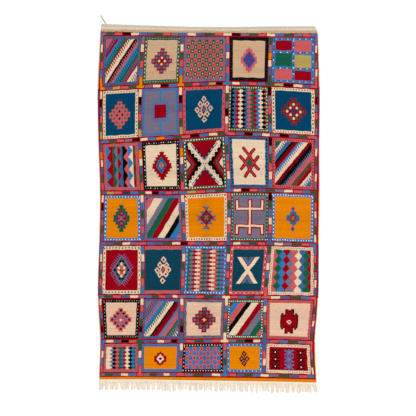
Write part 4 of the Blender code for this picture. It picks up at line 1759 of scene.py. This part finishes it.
# The pixel of the photograph's frame that lies on the middle of the tables, across and down
TABLE_MIDDLE_PX = (208.5, 203.5)
FRAME_SIDE_PX = 416
CAMERA_HEIGHT = 9.0
CAMERA_SIGHT = 100.0
SENSOR_MM = 36.0

# The floor: half its side, how far it lies under the kilim, and its paint
FLOOR_HALF = 30.0
FLOOR_DROP = 0.0002
FLOOR_COLOUR = (0.98, 0.98, 0.98, 1.0)
FLOOR_ROUGHNESS = 0.9

# Even light from all around, and a large soft box over the right side, which points at the
# middle of the kilim
SKY_STRENGTH = 0.76
SOFT_BOX_SIDE = 6.6
SOFT_BOX_WATTS = 745.0
SOFT_BOX_PLACE = (7.0, -1.0, 11.5)


def add_floor():
    """A plain pale floor under the kilim."""
    mesh = bpy.data.meshes.new("floor")
    half = FLOOR_HALF
    corners = [(-half, -half, 0), (half, -half, 0), (half, half, 0), (-half, half, 0)]
    mesh.from_pydata(corners, [], [(0, 1, 2, 3)])
    floor = bpy.data.objects.new("floor", mesh)
    bpy.context.scene.collection.objects.link(floor)
    floor.location.z = -FLOOR_DROP
    paint = bpy.data.materials.new("pale_floor")
    paint.use_nodes = True
    shader = paint.node_tree.nodes["Principled BSDF"].inputs
    shader["Base Color"].default_value = FLOOR_COLOUR
    shader["Roughness"].default_value = FLOOR_ROUGHNESS
    shader["Specular IOR Level"].default_value = 0.0
    mesh.materials.append(paint)


def add_lights(scene):
    """The sky and the soft box."""
    world = bpy.data.worlds.new("studio")
    scene.world = world
    world.use_nodes = True
    sky = world.node_tree.nodes["Background"].inputs
    sky["Color"].default_value = (1, 1, 1, 1)
    sky["Strength"].default_value = SKY_STRENGTH
    lamp = bpy.data.lights.new("soft_box", "AREA")
    lamp.shape = "SQUARE"
    lamp.size = SOFT_BOX_SIDE
    lamp.energy = SOFT_BOX_WATTS
    box = bpy.data.objects.new("soft_box", lamp)
    box.location = SOFT_BOX_PLACE
    box.rotation_euler = (-Vector(box.location)).to_track_quat("-Z", "Y").to_euler()
    scene.collection.objects.link(box)


def add_camera(scene):
    """A camera straight above, framed like the photograph."""
    lens = bpy.data.cameras.new("overhead")
    lens.sensor_width = SENSOR_MM
    lens.lens = SENSOR_MM * CAMERA_HEIGHT / (FRAME_SIDE_PX * MARK)
    lens.clip_end = CAMERA_SIGHT
    camera = bpy.data.objects.new("overhead", lens)
    aside = (FRAME_SIDE_PX / 2 - TABLE_MIDDLE_PX[0]) * MARK
    down = (FRAME_SIDE_PX / 2 - TABLE_MIDDLE_PX[1]) * MARK
    camera.location = (SHIFT_X + aside, SHIFT_Y - down, CAMERA_HEIGHT)
    scene.collection.objects.link(camera)
    scene.camera = camera


# Operators


class KILIM_OT_set_stage(bpy.types.Operator):
    """Lay the pale floor and set the light and the camera"""

    bl_idname = "kilim.set_stage"
    bl_label = "Set Stage"

    def execute(self, context):
        add_camera(context.scene)
        add_floor()
        add_lights(context.scene)
        context.scene.view_settings.view_transform = "Standard"
        return {"FINISHED"}


class KILIM_OT_lay_cord(bpy.types.Operator):
    """Lay the loose end of the plait off the corner"""

    bl_idname = "kilim.lay_cord"
    bl_label = "Lay Corner Cord"

    def execute(self, context):
        add_cord()
        return {"FINISHED"}


class KILIM_OT_plait_heading(bpy.types.Operator):
    """Plait the upper warp ends along the heading"""

    bl_idname = "kilim.plait_heading"
    bl_label = "Plait Heading"

    def execute(self, context):
        add_plait()
        return {"FINISHED"}


class KILIM_OT_comb_fringe(bpy.types.Operator):
    """Comb out the lower warp ends in locks"""

    bl_idname = "kilim.comb_fringe"
    bl_label = "Comb Fringe"

    def execute(self, context):
        add_fringe()
        add_fringe_roots()
        return {"FINISHED"}


class KILIM_OT_weave_strips(bpy.types.Operator):
    """Weave the crosswise and lengthwise strips of blocks"""

    bl_idname = "kilim.weave_strips"
    bl_label = "Weave Block Strips"

    def execute(self, context):
        for strip in range(len(LENGTHWISE_BLOCKS)):
            add_lengthwise_strip(strip)
        for line in range(len(CROSSWISE_BLOCKS)):
            add_crosswise_strip(line)
        return {"FINISHED"}


class KILIM_OT_weave_panels(bpy.types.Operator):
    """Weave the brocaded panels, row by row from the heading"""

    bl_idname = "kilim.weave_panels"
    bl_label = "Weave Panels"

    def execute(self, context):
        for row, charts in enumerate(PANELS, start=1):
            for column in range(1, len(charts) + 1):
                add_panel(row, column)
        return {"FINISHED"}


class KILIM_OT_weave_ground(bpy.types.Operator):
    bl_idname = "kilim.weave_ground"
    bl_label = "Weave Ground"

    def execute(self, context):
        starts = ("panel_row", "crosswise_strip", "lengthwise_strip", "fringe_root")
        brocade = [piece for piece in context.scene.objects if piece.name.startswith(starts)]
        if not brocade:
            raise RuntimeError("The panels and strips are woven before the ground.")
        add_ground()
        return {"FINISHED"}


class KILIM_PT_kilim(bpy.types.Panel):
    """Lists the kilim's steps, dyes and sizes"""

    bl_idname = "KILIM_PT_kilim"
    bl_label = "Panelled Kilim"
    bl_space_type = "VIEW_3D"
    bl_region_type = "UI"
    bl_category = "Kilim"

    def draw(self, context):
        for step in STEPS:
            self.layout.operator(step.bl_idname)
        for group in (context.scene.kilim_dyes, context.scene.kilim_sizes):
            box = self.layout.box()
            for name in group.__annotations__:
                box.prop(group, name)


STEPS = (
    KILIM_OT_set_stage,
    KILIM_OT_lay_cord,
    KILIM_OT_plait_heading,
    KILIM_OT_comb_fringe,
    KILIM_OT_weave_strips,
    KILIM_OT_weave_panels,
    KILIM_OT_weave_ground,
)
CLASSES = (KilimDyes, KilimSizes, *STEPS, KILIM_PT_kilim)


def register():
    for cls in CLASSES:
        bpy.utils.register_class(cls)
    bpy.types.Scene.kilim_dyes = PointerProperty(type=KilimDyes)
    bpy.types.Scene.kilim_sizes = PointerProperty(type=KilimSizes)


def unregister():
    del bpy.types.Scene.kilim_sizes
    del bpy.types.Scene.kilim_dyes
    for cls in reversed(CLASSES):
        bpy.utils.unregister_class(cls)


def main():
    register()
    bpy.ops.kilim.set_stage()
    bpy.ops.kilim.lay_cord()
    bpy.ops.kilim.plait_heading()
    bpy.ops.kilim.comb_fringe()
    bpy.ops.kilim.weave_strips()
    bpy.ops.kilim.weave_panels()
    bpy.ops.kilim.weave_ground()


if __name__ == "__main__":
    main()
